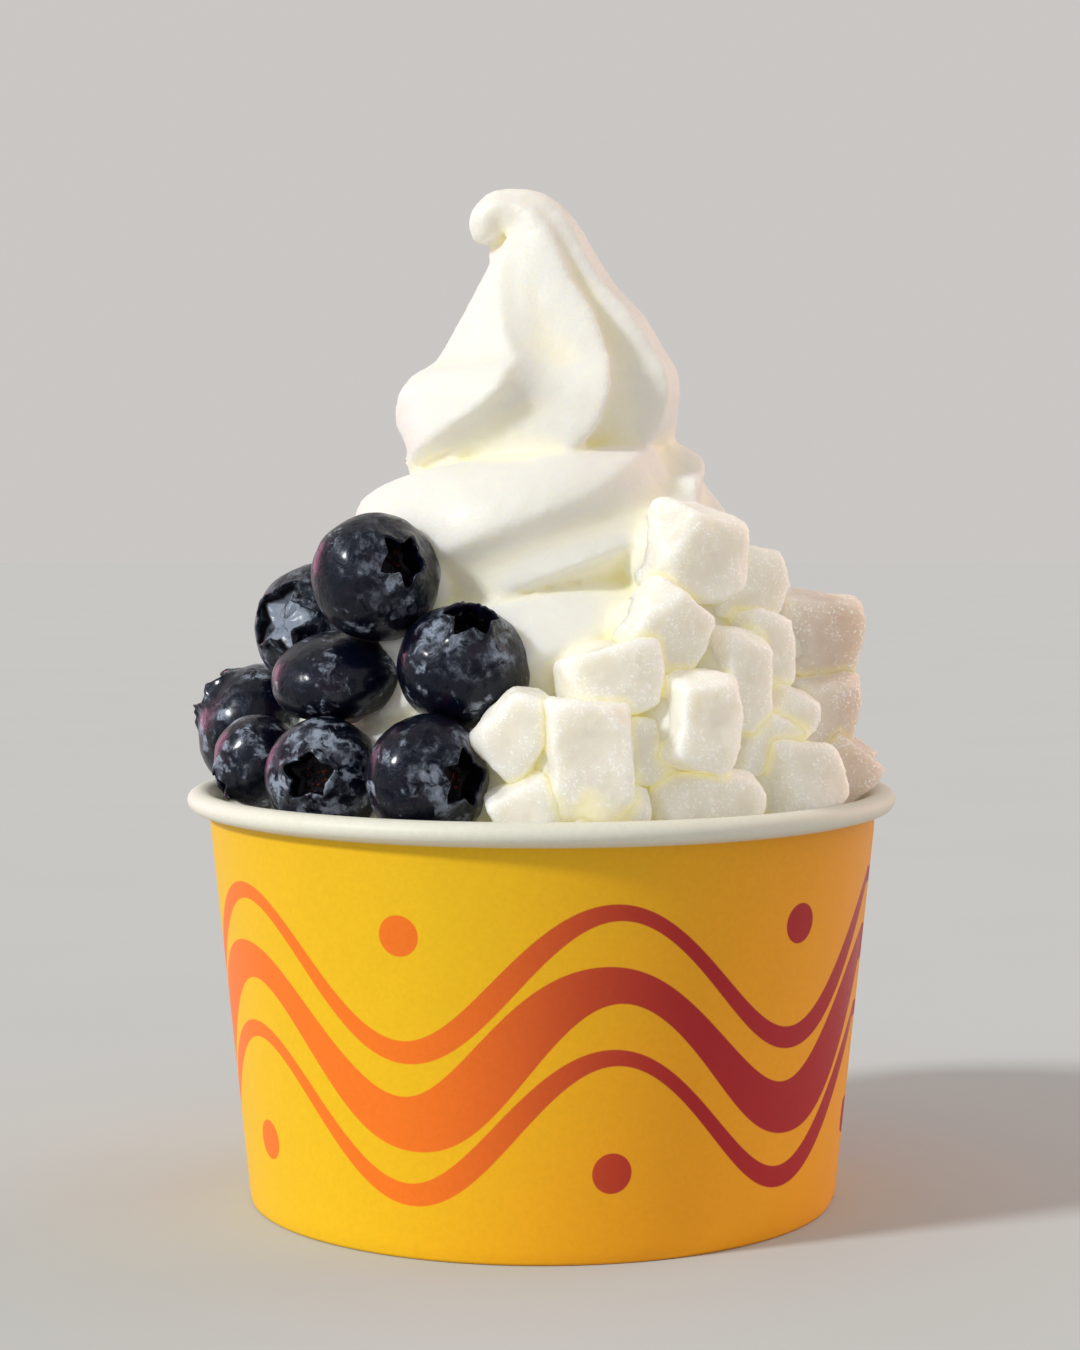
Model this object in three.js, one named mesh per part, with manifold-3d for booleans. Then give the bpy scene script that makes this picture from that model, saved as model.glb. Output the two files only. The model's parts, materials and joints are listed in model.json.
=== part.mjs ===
// Frozen yogurt in a paper cup: a twisted swirl with blueberries heaped on one side and
// pieces of mochi on the other. Millimetres, +Z up. The origin is the middle of the foot,
// on the surface that the cup stands on, and -Y is the front.
import * as THREE from 'three';
import { mergeVertices } from 'three/addons/utils/BufferGeometryUtils.js';
import Module from 'manifold-3d';

const wasm = await Module();
wasm.setup();

// ---- cup -----------------------------------------------------------------------------
const RIM_RADIUS = 48; // outside of the rolled rim
const CUP_HEIGHT = 56;
const FOOT_RADIUS = 39.7; // outside of the wall where it stands
const PAPER = 0.6; // thickness of the wall
const ROLL_WIDTH = 3.5; // section of the rolled rim, across
const ROLL_HEIGHT = 2.9; // and upright
const ROLL_STEPS = 8;
const ROLL_SWEEP = (Math.PI * 4) / 3; // from its tucked-in end over the top to the inside
const HEM_HEIGHT = 6.2; // height of the wall's end where it folds back inside the foot
const CLEARANCE = 0.25; // paper to paper
const CUP_SIDES = 40;
const BODY_RADIUS = RIM_RADIUS - ROLL_WIDTH + PAPER; // wall just under the rim
const BODY_HEIGHT = CUP_HEIGHT - ROLL_HEIGHT;
const TAPER = (BODY_RADIUS - FOOT_RADIUS) / BODY_HEIGHT;

// ---- frozen yogurt -------------------------------------------------------------------
const GAP = 0.3; // between the yogurt and what it touches
const FILL_EDGE = 53.2; // height of the yogurt at the cup's wall
const FILL_MIDDLE = 56.5; // and under the swirl
const CORE_RADIUS = 15; // yogurt inside the coil
const FILL_SIDES = 20;
const FLUTES = 8; // ridges left by the star nozzle

// the coiled rope: turns from the front towards +X, distance from the axis, height, thickness
const COIL = [
  { turn: -2.6, reach: 24.5, height: 46.0, radius: 11.0 },
  { turn: -2.25, reach: 26.4, height: 52.5, radius: 11.4 },
  { turn: -2.0, reach: 25.2, height: 57.5, radius: 11.4 },
  { turn: -1.5, reach: 22.6, height: 66.0, radius: 11.3 },
  { turn: -1.25, reach: 21.2, height: 69.3, radius: 11.2 },
  { turn: -1.0, reach: 19.0, height: 72.6, radius: 11.2 },
  { turn: -0.75, reach: 19.6, height: 77.8, radius: 11.2 },
  { turn: -0.5, reach: 17.8, height: 83.2, radius: 11.1 },
  { turn: -0.25, reach: 16.4, height: 86.9, radius: 11.1 },
  { turn: 0.0, reach: 15.0, height: 89.8, radius: 11.2 },
  { turn: 0.25, reach: 14.8, height: 92.4, radius: 10.9 },
  { turn: 0.5, reach: 12.0, height: 97.5, radius: 10.4 },
  { turn: 1.0, reach: 5.5, height: 104.5, radius: 9.0 },
];
const COIL_TWIST = 274; // degrees that the ridges turn round the rope in one turn of the coil
const COIL_CREST = 18; // where a ridge lies round the rope at turn 0
const COIL_GROOVE = 0.16; // depth of the grooves, as a share of the rope's radius
const COIL_PRESSED = 0.85; // how much is pressed flat under the next turn and on the broad flank
const COIL_STEPS = 14; // rings in one turn
const COIL_PIECE = 7; // rings in one piece of the coil
const COIL_COLUMNS = 3; // faces from one ridge to the next

// the top: its middle line, which curls over at the tip, and its radius
const TOP = [
  { x: -1.5, z: 95.6, radius: 12.0 },
  { x: -1.3, z: 98.6, radius: 15.6 },
  { x: -0.8, z: 102.3, radius: 18.8 },
  { x: -0.5, z: 105.4, radius: 19.6 },
  { x: -0.1, z: 108.3, radius: 19.6 },
  { x: 0.8, z: 111.3, radius: 18.5 },
  { x: 2.0, z: 113.4, radius: 16.4 },
  { x: 1.7, z: 119.1, radius: 12.8 },
  { x: 0.5, z: 124.5, radius: 9.0 },
  { x: -0.4, z: 129.6, radius: 6.0 },
  { x: -2.7, z: 132.9, radius: 4.0 },
  { x: -5.5, z: 133.6, radius: 3.0 },
  { x: -7.4, z: 131.8, radius: 2.5 },
  { x: -7.2, z: 130.6, radius: 2.3 },
  { x: -6.7, z: 129.7, radius: 1.4 },
];
// ridges of the top: their bearings at these heights, and the depth of the groove that follows
const RIDGE_HEIGHTS = [98.8, 99.8, 102.0, 104.5, 107.0, 109.5, 112.5, 116.5, 121.0, 126.0, 131.0];
const RIDGES = [
  { groove: 0.06, bearings: [-126, -121, -112, -102, -92, -84, -84, -88, -94, -100, -106] },
  { groove: 0.18, bearings: [-86, -76, -52, -35.5, -23, -17, -18.5, -28, -38, -47, -54] },
  { groove: 0.25, bearings: [-34, -5, 18, 24, 26, 27, 25.5, 25, 23.5, 20.5, 18] },
  { groove: 0.05, bearings: [40, 46, 52, 57, 60, 60, 58, 55, 52, 50, 48] },
  { groove: 0.17, bearings: [80, 85, 94, 102, 107, 109, 108, 106, 103, 100, 96] },
  { groove: 0.17, bearings: [118, 123, 132, 140, 145, 147, 147, 145, 142, 139, 135] },
  { groove: 0.17, bearings: [158, 163, 172, 180, 185, 187, 187, 185, 182, 179, 175] },
  { groove: 0.13, bearings: [200, 205, 213, 221, 227, 229, 228, 225, 221, 217, 213] },
];
const TOP_FOOT = 98.8;
const TIP_GROOVES = 0.4; // how much of the grooves' depth is left at the tip
const CURL_FROM = 29; // length along the middle line where the rings start to turn with it
const CURL_OVER = 6;
const TOP_STEPS = 25;
const TOP_COLUMNS = 4;
const GROOVE_SHARPNESS = 1.15;

// ---- toppings ------------------------------------------------------------------------
// middle, radius, height as a share of its width, and where the crown points
const BLUEBERRIES = [
  { at: [-21.2, -22.5, 84.9], radius: 8.3, flat: 0.96, crown: [0.5, -0.8, 0.3] },
  { at: [-30.2, -3.0, 77.6], radius: 8.6, flat: 0.97, crown: [-0.56, -0.8, 0.21] },
  { at: [-26.4, -18.9, 71.9], radius: 8.8, flat: 0.64, crown: [0.1, 0.25, -0.96] },
  { at: [-9.9, -27.5, 73.7], radius: 8.5, flat: 0.9, crown: [0.15, -0.58, 0.8] },
  { at: [-38.8, 4.5, 63.6], radius: 9.1, flat: 0.9, crown: [-0.82, 0.1, 0.56] },
  { at: [-37.0, -14.7, 60.5], radius: 6.3, flat: 0.95, crown: [-0.82, -0.3, -0.48] },
  { at: [-27.6, -26.6, 59.6], radius: 7.7, flat: 0.9, crown: [-0.22, -0.97, 0.12] },
  { at: [-14.1, -35.2, 60.2], radius: 8.1, flat: 0.88, crown: [0.66, -0.73, 0.06] },
  { at: [-31.0, 21.5, 60.5], radius: 7.2, flat: 0.92, crown: [-0.6, 0.6, 0.5] },
  { at: [-26.0, 14.0, 73.5], radius: 7.0, flat: 0.94, crown: [-0.5, 0.5, 0.7] },
  { at: [-19.0, 32.6, 60.2], radius: 7.4, flat: 0.9, crown: [-0.4, 0.85, 0.3] },
];
const BERRY_SIDES = 15;
const BERRY_LATITUDES = [-90, -58, -28, 0, 28, 50];
// the crown, as shares of the berry's radius: its lip, the edge of the pit and the pit's floor
const CROWN_LIP = { radius: 0.5, height: 0.97 };
const CROWN_PIT = { radius: 0.34, height: 0.78, floor: 0.7 };
const SEPALS = 5;
const SEPAL_SPREAD = 0.07;
const SEPAL_RISE = 0.04;

// middle, half sizes across, deep and up, roll seen from the front, and turn about the upright
const MOCHI = [
  { at: [19.1, -21.3, 88.3], half: [6.6, 6.0, 6.3], roll: -6, turn: 25 },
  { at: [25.8, -14.2, 84.0], half: [4.6, 5.0, 4.8], roll: -9, turn: 35 },
  { at: [35.4, -5.8, 77.0], half: [6.0, 5.8, 5.6], roll: -6, turn: 14 },
  { at: [14.9, -27.8, 78.1], half: [5.0, 5.2, 6.1], roll: -28, turn: 18 },
  { at: [24.8, -24.3, 72.1], half: [4.0, 4.4, 6.3], roll: -6, turn: 18 },
  { at: [28.0, -17.2, 75.6], half: [3.8, 4.6, 4.9], roll: -4, turn: 30 },
  { at: [8.6, -32.8, 72.2], half: [6.5, 5.2, 4.7], roll: 8, turn: 5 },
  { at: [19.1, -33.2, 66.9], half: [4.6, 5.2, 6.4], roll: -6, turn: 20 },
  { at: [5.7, -39.0, 62.9], half: [6.0, 5.0, 7.2], roll: -5, turn: 4 },
  { at: [-2.6, -36.2, 66.0], half: [4.9, 5.2, 5.8], roll: -32, turn: -6 },
  { at: [-1.6, -39.0, 56.8], half: [4.9, 4.4, 4.0], roll: 25, turn: -8 },
  { at: [8.1, -37.6, 56.2], half: [4.9, 4.4, 4.0], roll: -4, turn: 10 },
  { at: [20.1, -31.6, 56.6], half: [6.6, 5.4, 5.0], roll: 4, turn: 25 },
  { at: [32.2, -22.1, 58.7], half: [4.9, 5.4, 5.8], roll: 12, turn: 42 },
  { at: [39.2, -10.4, 58.9], half: [4.4, 5.0, 4.2], roll: -38, turn: 14 },
  { at: [30.7, -19.0, 67.3], half: [3.8, 4.8, 3.6], roll: -33, turn: 25 },
  { at: [36.8, -9.6, 66.5], half: [4.7, 5.4, 5.7], roll: -3, turn: 18 },
  { at: [40.2, 3.2, 58.6], half: [4.2, 5.0, 4.6], roll: -34, turn: 5 },
  { at: [12.8, -31.6, 63.2], half: [4.2, 4.4, 4.8], roll: 10, turn: 15 },
  { at: [27.2, -21.6, 63.6], half: [4.6, 4.6, 4.8], roll: -15, turn: 40 },
  { at: [35.6, 14.0, 60.0], half: [5.6, 5.0, 5.2], roll: 15, turn: 110 },
  { at: [33.6, 8.2, 71.4], half: [5.2, 5.4, 5.6], roll: -12, turn: 100 },
  { at: [30.4, 24.2, 59.6], half: [5.8, 5.2, 5.0], roll: 20, turn: 128 },
  { at: [26.6, 18.4, 70.6], half: [5.4, 5.0, 5.2], roll: -24, turn: 120 },
  { at: [21.0, 32.6, 59.2], half: [5.4, 5.2, 4.9], roll: 10, turn: 146 },
];
const MOCHI_CELLS = 3; // faces along each side of a piece
const MOCHI_SOCKET_CELLS = 2; // and of the coarser dent that it makes
const MOCHI_SOCKET_ROOM = 0.06; // which is this share larger, so that its flat faces stay clear
const MOCHI_SQUARENESS = 4; // 2 would be an egg, a large number a brick
const MOCHI_UNEVEN = 0.12; // how far its faces sink in, as a share of its size
const MOCHI_NARROWING = 0.24;
const MOCHI_SLANT = 0.14;
const MOCHI_SEED = 11;

const TURN = Math.PI * 2;

// ---- geometry helpers ----------------------------------------------------------------
function mix(a, b, t) {
  return a + (b - a) * t;
}

function clamp01(t) {
  return Math.min(1, Math.max(0, t));
}

/** Smooth curve through key values that never overshoots them. */
function curve(keys, key, name) {
  const x = keys.map((k) => k[key]);
  const y = keys.map((k) => k[name]);
  const slope = x.slice(1).map((v, i) => (y[i + 1] - y[i]) / (v - x[i]));
  const tangent = x.map((v, i) => {
    if (i === 0) return slope[0];
    if (i === x.length - 1) return slope[i - 1];
    const product = slope[i - 1] * slope[i];
    return product > 0 ? (2 * product) / (slope[i - 1] + slope[i]) : 0;
  });
  return (at) => {
    let i = 0;
    while (i < x.length - 2 && at > x[i + 1]) i++;
    const h = x[i + 1] - x[i];
    const t = (at - x[i]) / h;
    const rise = (2 * t - 3) * t * t;
    return (1 + rise) * y[i] - rise * y[i + 1]
      + (t - 1) * t * h * ((t - 1) * tangent[i] + t * tangent[i + 1]);
  };
}

/** Repeatable random numbers from 0 to 1. */
function randomFrom(seed) {
  let state = seed;
  return () => {
    state = (state * 1664525 + 1013904223) % 4294967296;
    return state / 4294967296;
  };
}

/** A primitive with shared corners and no more than its positions. */
function bare(geometry) {
  geometry.deleteAttribute('normal');
  geometry.deleteAttribute('uv');
  return mergeVertices(geometry, 1e-5);
}

/** Moves each corner of a primitive to where the rule puts it. */
function shaped(geometry, rule) {
  const grid = bare(geometry);
  const corners = grid.getAttribute('position');
  const corner = new THREE.Vector3();
  for (let i = 0; i < corners.count; i++) {
    const moved = rule(corner.fromBufferAttribute(corners, i).clone());
    corners.setXYZ(i, moved.x, moved.y, moved.z);
  }
  return grid;
}

/** A closed loft on a cylinder's grid, from share 0 at one end to 1 at the other. ring(share)
 *  gives a function of the column, or of null for the middle of an end. */
function loft(columns, rows, ring) {
  return shaped(new THREE.CylinderGeometry(1, 1, 1, columns, rows), (corner) => {
    const point = ring(0.5 - corner.y);
    if (Math.hypot(corner.x, corner.z) < 0.5) return point(null);
    const column = Math.round((Math.atan2(corner.x, corner.z) / TURN) * columns);
    return point((column + columns) % columns);
  });
}

function solid(geometry) {
  return new wasm.Manifold(new wasm.Mesh({
    numProp: 3,
    vertProperties: new Float32Array(geometry.getAttribute('position').array),
    triVerts: new Uint32Array(geometry.index.array),
  }));
}

function surface(manifold) {
  const { vertProperties, triVerts } = manifold.getMesh();
  const geometry = new THREE.BufferGeometry();
  geometry.setAttribute('position', new THREE.BufferAttribute(vertProperties, 3));
  geometry.setIndex(new THREE.BufferAttribute(triVerts, 1));
  return geometry;
}

/** The main body alone: without loose scraps, and with sealed hollows filled. */
function largest(manifold) {
  const bodies = manifold.decompose();
  return bodies.reduce((a, b) => (b.volume() > a.volume() ? b : a));
}

/** A turned piece about the upright axis, from its outline of radius and height. */
function turned(outline, sides) {
  const points = outline.map(([radius, height]) => new THREE.Vector2(radius, height));
  return bare(new THREE.LatheGeometry(points, sides).rotateX(Math.PI / 2));
}

// ---- cup -----------------------------------------------------------------------------
function wallOutside(height) {
  return FOOT_RADIUS + TAPER * height;
}

/** The side wall: tapered paper, rolled outwards at the rim and folded in at the foot. */
function cupWall() {
  const outline = [[wallOutside(0), 0], [wallOutside(BODY_HEIGHT), BODY_HEIGHT]];
  const rollMiddle = RIM_RADIUS - ROLL_WIDTH / 2;
  for (let i = 0; i <= ROLL_STEPS; i++) {
    const angle = Math.PI - ROLL_SWEEP * (1 - i / ROLL_STEPS);
    outline.push([
      rollMiddle + (ROLL_WIDTH / 2) * Math.cos(angle),
      CUP_HEIGHT - ROLL_HEIGHT / 2 + (ROLL_HEIGHT / 2) * Math.sin(angle),
    ]);
  }
  const slotWidth = 2 * CLEARANCE + PAPER; // holds the base's skirt
  outline.push(
    [wallOutside(PAPER) - PAPER, PAPER],
    [wallOutside(PAPER) - PAPER - slotWidth, PAPER],
    [wallOutside(HEM_HEIGHT) - PAPER - slotWidth, HEM_HEIGHT],
    [wallOutside(HEM_HEIGHT) - 2 * PAPER - slotWidth, HEM_HEIGHT],
    [wallOutside(0) - 2 * PAPER - slotWidth, 0],
    [wallOutside(0), 0],
  );
  return turned(outline, CUP_SIDES);
}

/** The base: a disc above the hem with a skirt that runs down inside the fold. */
function cupBase() {
  const under = HEM_HEIGHT + 2 * CLEARANCE;
  const skirtFoot = PAPER + CLEARANCE;
  const edge = (height) => wallOutside(height) - PAPER - CLEARANCE;
  return turned([
    [0, under],
    [edge(under) - PAPER, under],
    [edge(skirtFoot) - PAPER, skirtFoot],
    [edge(skirtFoot), skirtFoot],
    [edge(under + PAPER), under + PAPER],
    [0, under + PAPER],
  ], CUP_SIDES);
}

// ---- frozen yogurt -------------------------------------------------------------------
/** Angle and groove at a column of a fluted ring whose ridges lie at the given angles. */
function flute(ridges, column, perFlute) {
  const k = Math.floor(column / perFlute);
  const share = (column % perFlute) / perFlute;
  const next = k + 1 < ridges.length ? ridges[k + 1] : ridges[0] + 360;
  return {
    k,
    angle: THREE.MathUtils.degToRad(mix(ridges[k], next, share)),
    groove: Math.sin(Math.PI * share) ** GROOVE_SHARPNESS,
  };
}

/** One piece of the coiled rope, from one turn to another. */
function coilPiece(from, rows) {
  const reach = curve(COIL, 'turn', 'reach');
  const height = curve(COIL, 'turn', 'height');
  const radius = curve(COIL, 'turn', 'radius');
  return loft(FLUTES * COIL_COLUMNS, rows, (share) => {
    const turn = from + (share * rows) / COIL_STEPS;
    const out = new THREE.Vector3(Math.sin(TURN * turn), -Math.cos(TURN * turn), 0);
    const middle = out.clone().multiplyScalar(reach(turn)).setZ(height(turn));
    const ridges = Array.from({ length: FLUTES }, (_, k) => (
      COIL_CREST + COIL_TWIST * turn + (k * 360) / FLUTES));
    return (column) => {
      if (column === null) return middle;
      const { k, angle, groove } = flute(ridges, column, COIL_COLUMNS);
      const between = THREE.MathUtils.euclideanModulo(ridges[k] + 180 / FLUTES + 180, 360) - 180;
      const buried = THREE.MathUtils.smoothstep(between, 12, 38)
        * (1 - THREE.MathUtils.smoothstep(between, 110, 140));
      const broad = k === 0 ? 1 - THREE.MathUtils.smoothstep(Math.abs(turn), 0.3, 0.45) : 0;
      const covered = Math.max(buried, broad);
      const r = radius(turn) * (1 - COIL_GROOVE * (1 - COIL_PRESSED * covered) * groove);
      return middle.clone().addScaledVector(out, r * Math.cos(angle))
        .add(new THREE.Vector3(0, 0, r * Math.sin(angle)));
    };
  });
}

/** The top of the swirl, from its curled tip down. */
function swirlTop() {
  const lengths = [0];
  for (let i = 1; i < TOP.length; i++) {
    const step = Math.hypot(TOP[i].x - TOP[i - 1].x, TOP[i].z - TOP[i - 1].z);
    lengths.push(lengths[i - 1] + step);
  }
  const keys = TOP.map((key, i) => ({ ...key, along: lengths[i] }));
  const whole = lengths.at(-1);
  const x = curve(keys, 'along', 'x');
  const z = curve(keys, 'along', 'z');
  const radius = curve(keys, 'along', 'radius');
  const front = new THREE.Vector3(0, -1, 0);
  const nudge = whole / TOP_STEPS / 2;
  const bearings = RIDGES.map((ridge) => curve(
    RIDGE_HEIGHTS.map((height, i) => ({ height, bearing: ridge.bearings[i] })), 'height', 'bearing'));
  return loft(RIDGES.length * TOP_COLUMNS, TOP_STEPS, (share) => {
    const along = whole * (1 - share);
    const middle = new THREE.Vector3(x(along), 0, z(along));
    const ahead = Math.min(along + nudge, whole);
    const behind = Math.max(along - nudge, 0);
    const heading = new THREE.Vector3(x(ahead) - x(behind), 0, z(ahead) - z(behind)).normalize();
    // the rings lie level on the body and turn with the curl near the tip
    const turning = clamp01((along - CURL_FROM) / CURL_OVER);
    const axis = new THREE.Vector3(0, 0, 1).lerp(heading, turning).normalize();
    const side = new THREE.Vector3().crossVectors(axis, front);
    const level = Math.min(Math.max(middle.z, RIDGE_HEIGHTS[0]), RIDGE_HEIGHTS.at(-1));
    const ridges = bearings.map((bearing) => bearing(level));
    const fade = mix(1, TIP_GROOVES, clamp01((2 * along) / whole - 1));
    return (column) => {
      if (column === null) return middle;
      const { k, angle, groove } = flute(ridges, column, TOP_COLUMNS);
      const r = radius(along) * (1 - RIDGES[k].groove * fade * groove);
      return middle.clone().addScaledVector(front, r * Math.cos(angle))
        .addScaledVector(side, r * Math.sin(angle));
    };
  });
}

/** Yogurt inside the cup, up to its level, and the core of the swirl. */
function fill() {
  const bottom = HEM_HEIGHT + 2 * CLEARANCE + PAPER + GAP;
  const edge = (height) => wallOutside(height) - PAPER - GAP;
  return turned([
    [0, bottom],
    [edge(bottom), bottom],
    [edge(FILL_EDGE), FILL_EDGE],
    [CORE_RADIUS, FILL_MIDDLE],
    [CORE_RADIUS * 0.8, TOP_FOOT],
    [0, TOP_FOOT],
  ], FILL_SIDES);
}

/** All of the yogurt in one piece, with a socket for each topping that sits in it. */
function frozenYogurt(toppings) {
  let yogurt = solid(fill()).add(solid(swirlTop()));
  const first = COIL[0].turn;
  const rings = Math.round((COIL.at(-1).turn - first) * COIL_STEPS);
  for (let ring = 0; ring < rings; ring += COIL_PIECE) {
    const rows = Math.min(COIL_PIECE, rings - ring);
    yogurt = yogurt.add(solid(coilPiece(first + ring / COIL_STEPS, rows)));
  }
  for (const topping of toppings) {
    yogurt = yogurt.subtract(topping.grown);
  }
  return surface(largest(yogurt));
}

// ---- toppings ------------------------------------------------------------------------
/** Places a unit shape by its middle, half sizes and turns. */
function placed(geometry, at, half, rotation) {
  const place = new THREE.Matrix4().compose(
    new THREE.Vector3(...at),
    new THREE.Quaternion().setFromEuler(rotation),
    new THREE.Vector3(...half),
  );
  return geometry.clone().applyMatrix4(place);
}

/** A topping's solid, and a slightly larger one for the socket or dent that it makes. */
function topping(shape, socketShape, at, half, rotation) {
  return {
    body: solid(placed(shape, at, half, rotation)),
    grown: solid(placed(socketShape, at, half.map((size) => size + GAP), rotation)),
  };
}

/** A blueberry of radius 1: a round fruit with a crown of sepals round a pit, pointing up. */
function berryShape() {
  const outline = BERRY_LATITUDES.map((latitude) => {
    const angle = THREE.MathUtils.degToRad(latitude);
    return [Math.cos(angle), Math.sin(angle)];
  });
  outline[0][0] = 0; // the bottom lies right on the axis
  outline.push(
    [CROWN_LIP.radius, CROWN_LIP.height],
    [CROWN_PIT.radius, CROWN_PIT.height],
    [0, CROWN_PIT.floor],
  );
  return shaped(turned(outline, BERRY_SIDES), (corner) => {
    if (Math.abs(corner.z - CROWN_LIP.height) > 1e-3) return corner;
    const sepal = Math.cos(SEPALS * Math.atan2(corner.y, corner.x));
    const spread = 1 + (SEPAL_SPREAD * sepal) / CROWN_LIP.radius;
    return new THREE.Vector3(corner.x * spread, corner.y * spread, corner.z + SEPAL_RISE * sepal);
  });
}

function blueberry({ at, radius, flat, crown }) {
  const up = new THREE.Vector3(0, 0, 1);
  const turn = new THREE.Quaternion().setFromUnitVectors(up, new THREE.Vector3(...crown).normalize());
  const rotation = new THREE.Euler().setFromQuaternion(turn);
  const shape = berryShape();
  return topping(shape, shape, at, [radius, radius, radius * flat], rotation);
}

/** A piece of mochi of half size 1: a soft block with blunt edges, one end narrower. */
function mochiShape(cells, ends, unevenness) {
  return shaped(new THREE.BoxGeometry(2, 2, 2, cells, cells, cells), (corner) => {
    const sizes = [corner.x, corner.y, corner.z].map(Math.abs);
    const power = sizes.reduce((sum, size) => sum + size ** MOCHI_SQUARENESS, 0);
    const blunt = Math.max(...sizes) / power ** (1 / MOCHI_SQUARENESS);
    const moved = corner.multiplyScalar(blunt * (1 - unevenness()));
    moved.x = moved.x * (1 - ends.narrow * moved.z) + ends.slant * moved.z;
    return moved;
  });
}

function mochiPieces() {
  const random = randomFrom(MOCHI_SEED);
  const degrees = THREE.MathUtils.degToRad;
  return MOCHI.map(({ at, half, roll, turn }) => {
    const rotation = new THREE.Euler(0, degrees(-roll), degrees(turn), 'YZX');
    const ends = {
      narrow: MOCHI_NARROWING * (random() - 0.5),
      slant: MOCHI_SLANT * (random() - 0.5),
    };
    const shape = mochiShape(MOCHI_CELLS, ends, () => MOCHI_UNEVEN * random());
    const socketShape = mochiShape(MOCHI_SOCKET_CELLS, ends, () => -MOCHI_SOCKET_ROOM);
    return topping(shape, socketShape, at, half, rotation);
  });
}

/** Soft pieces, dented where they meet what was placed before them. */
function pressed(pieces, placedBefore) {
  const placedPieces = [...placedBefore];
  return pieces.map((piece) => {
    const body = placedPieces.reduce((rest, other) => rest.subtract(other.grown), piece.body);
    placedPieces.push(piece);
    return { ...piece, body: largest(body) };
  });
}

// ---- the part ------------------------------------------------------------------------
const finishes = {
  paper: { color: 0xe8eadc, roughness: 0.55 },
  printedPaper: { color: 0xf3be1c, roughness: 0.5 },
  yogurt: { color: 0xf5f1e4, roughness: 0.45 },
  blueberry: { color: 0x262b3d, roughness: 0.4 },
  mochi: { color: 0xece8db, roughness: 0.6 },
};

const part = new THREE.Group();

function addMesh(name, geometry, finish) {
  const material = new THREE.MeshStandardMaterial({ ...finishes[finish], metalness: 0 });
  const mesh = new THREE.Mesh(geometry, material);
  mesh.name = name;
  part.add(mesh);
}

const berries = BLUEBERRIES.map(blueberry);
const mochi = pressed(mochiPieces(), berries);

addMesh('cup_wall', cupWall(), 'printedPaper');
addMesh('cup_base', cupBase(), 'paper');
addMesh('frozen_yogurt', frozenYogurt([...berries, ...mochi]), 'yogurt');
berries.forEach((berry, i) => addMesh(`blueberry_${i + 1}`, surface(berry.body), 'blueberry'));
mochi.forEach((piece, i) => addMesh(`mochi_${i + 1}`, surface(piece.body), 'mochi'));

export default part;
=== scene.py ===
"""Frozen yogurt cup: a printed paper cup with a soft-serve swirl, blueberries and mochi.

Laid out as an add-on with one operator for each piece or group of like pieces. Tables of
places are in millimetres, in the frame's own axes: +Z up, -Y the front, origin at the foot.
"""

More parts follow.
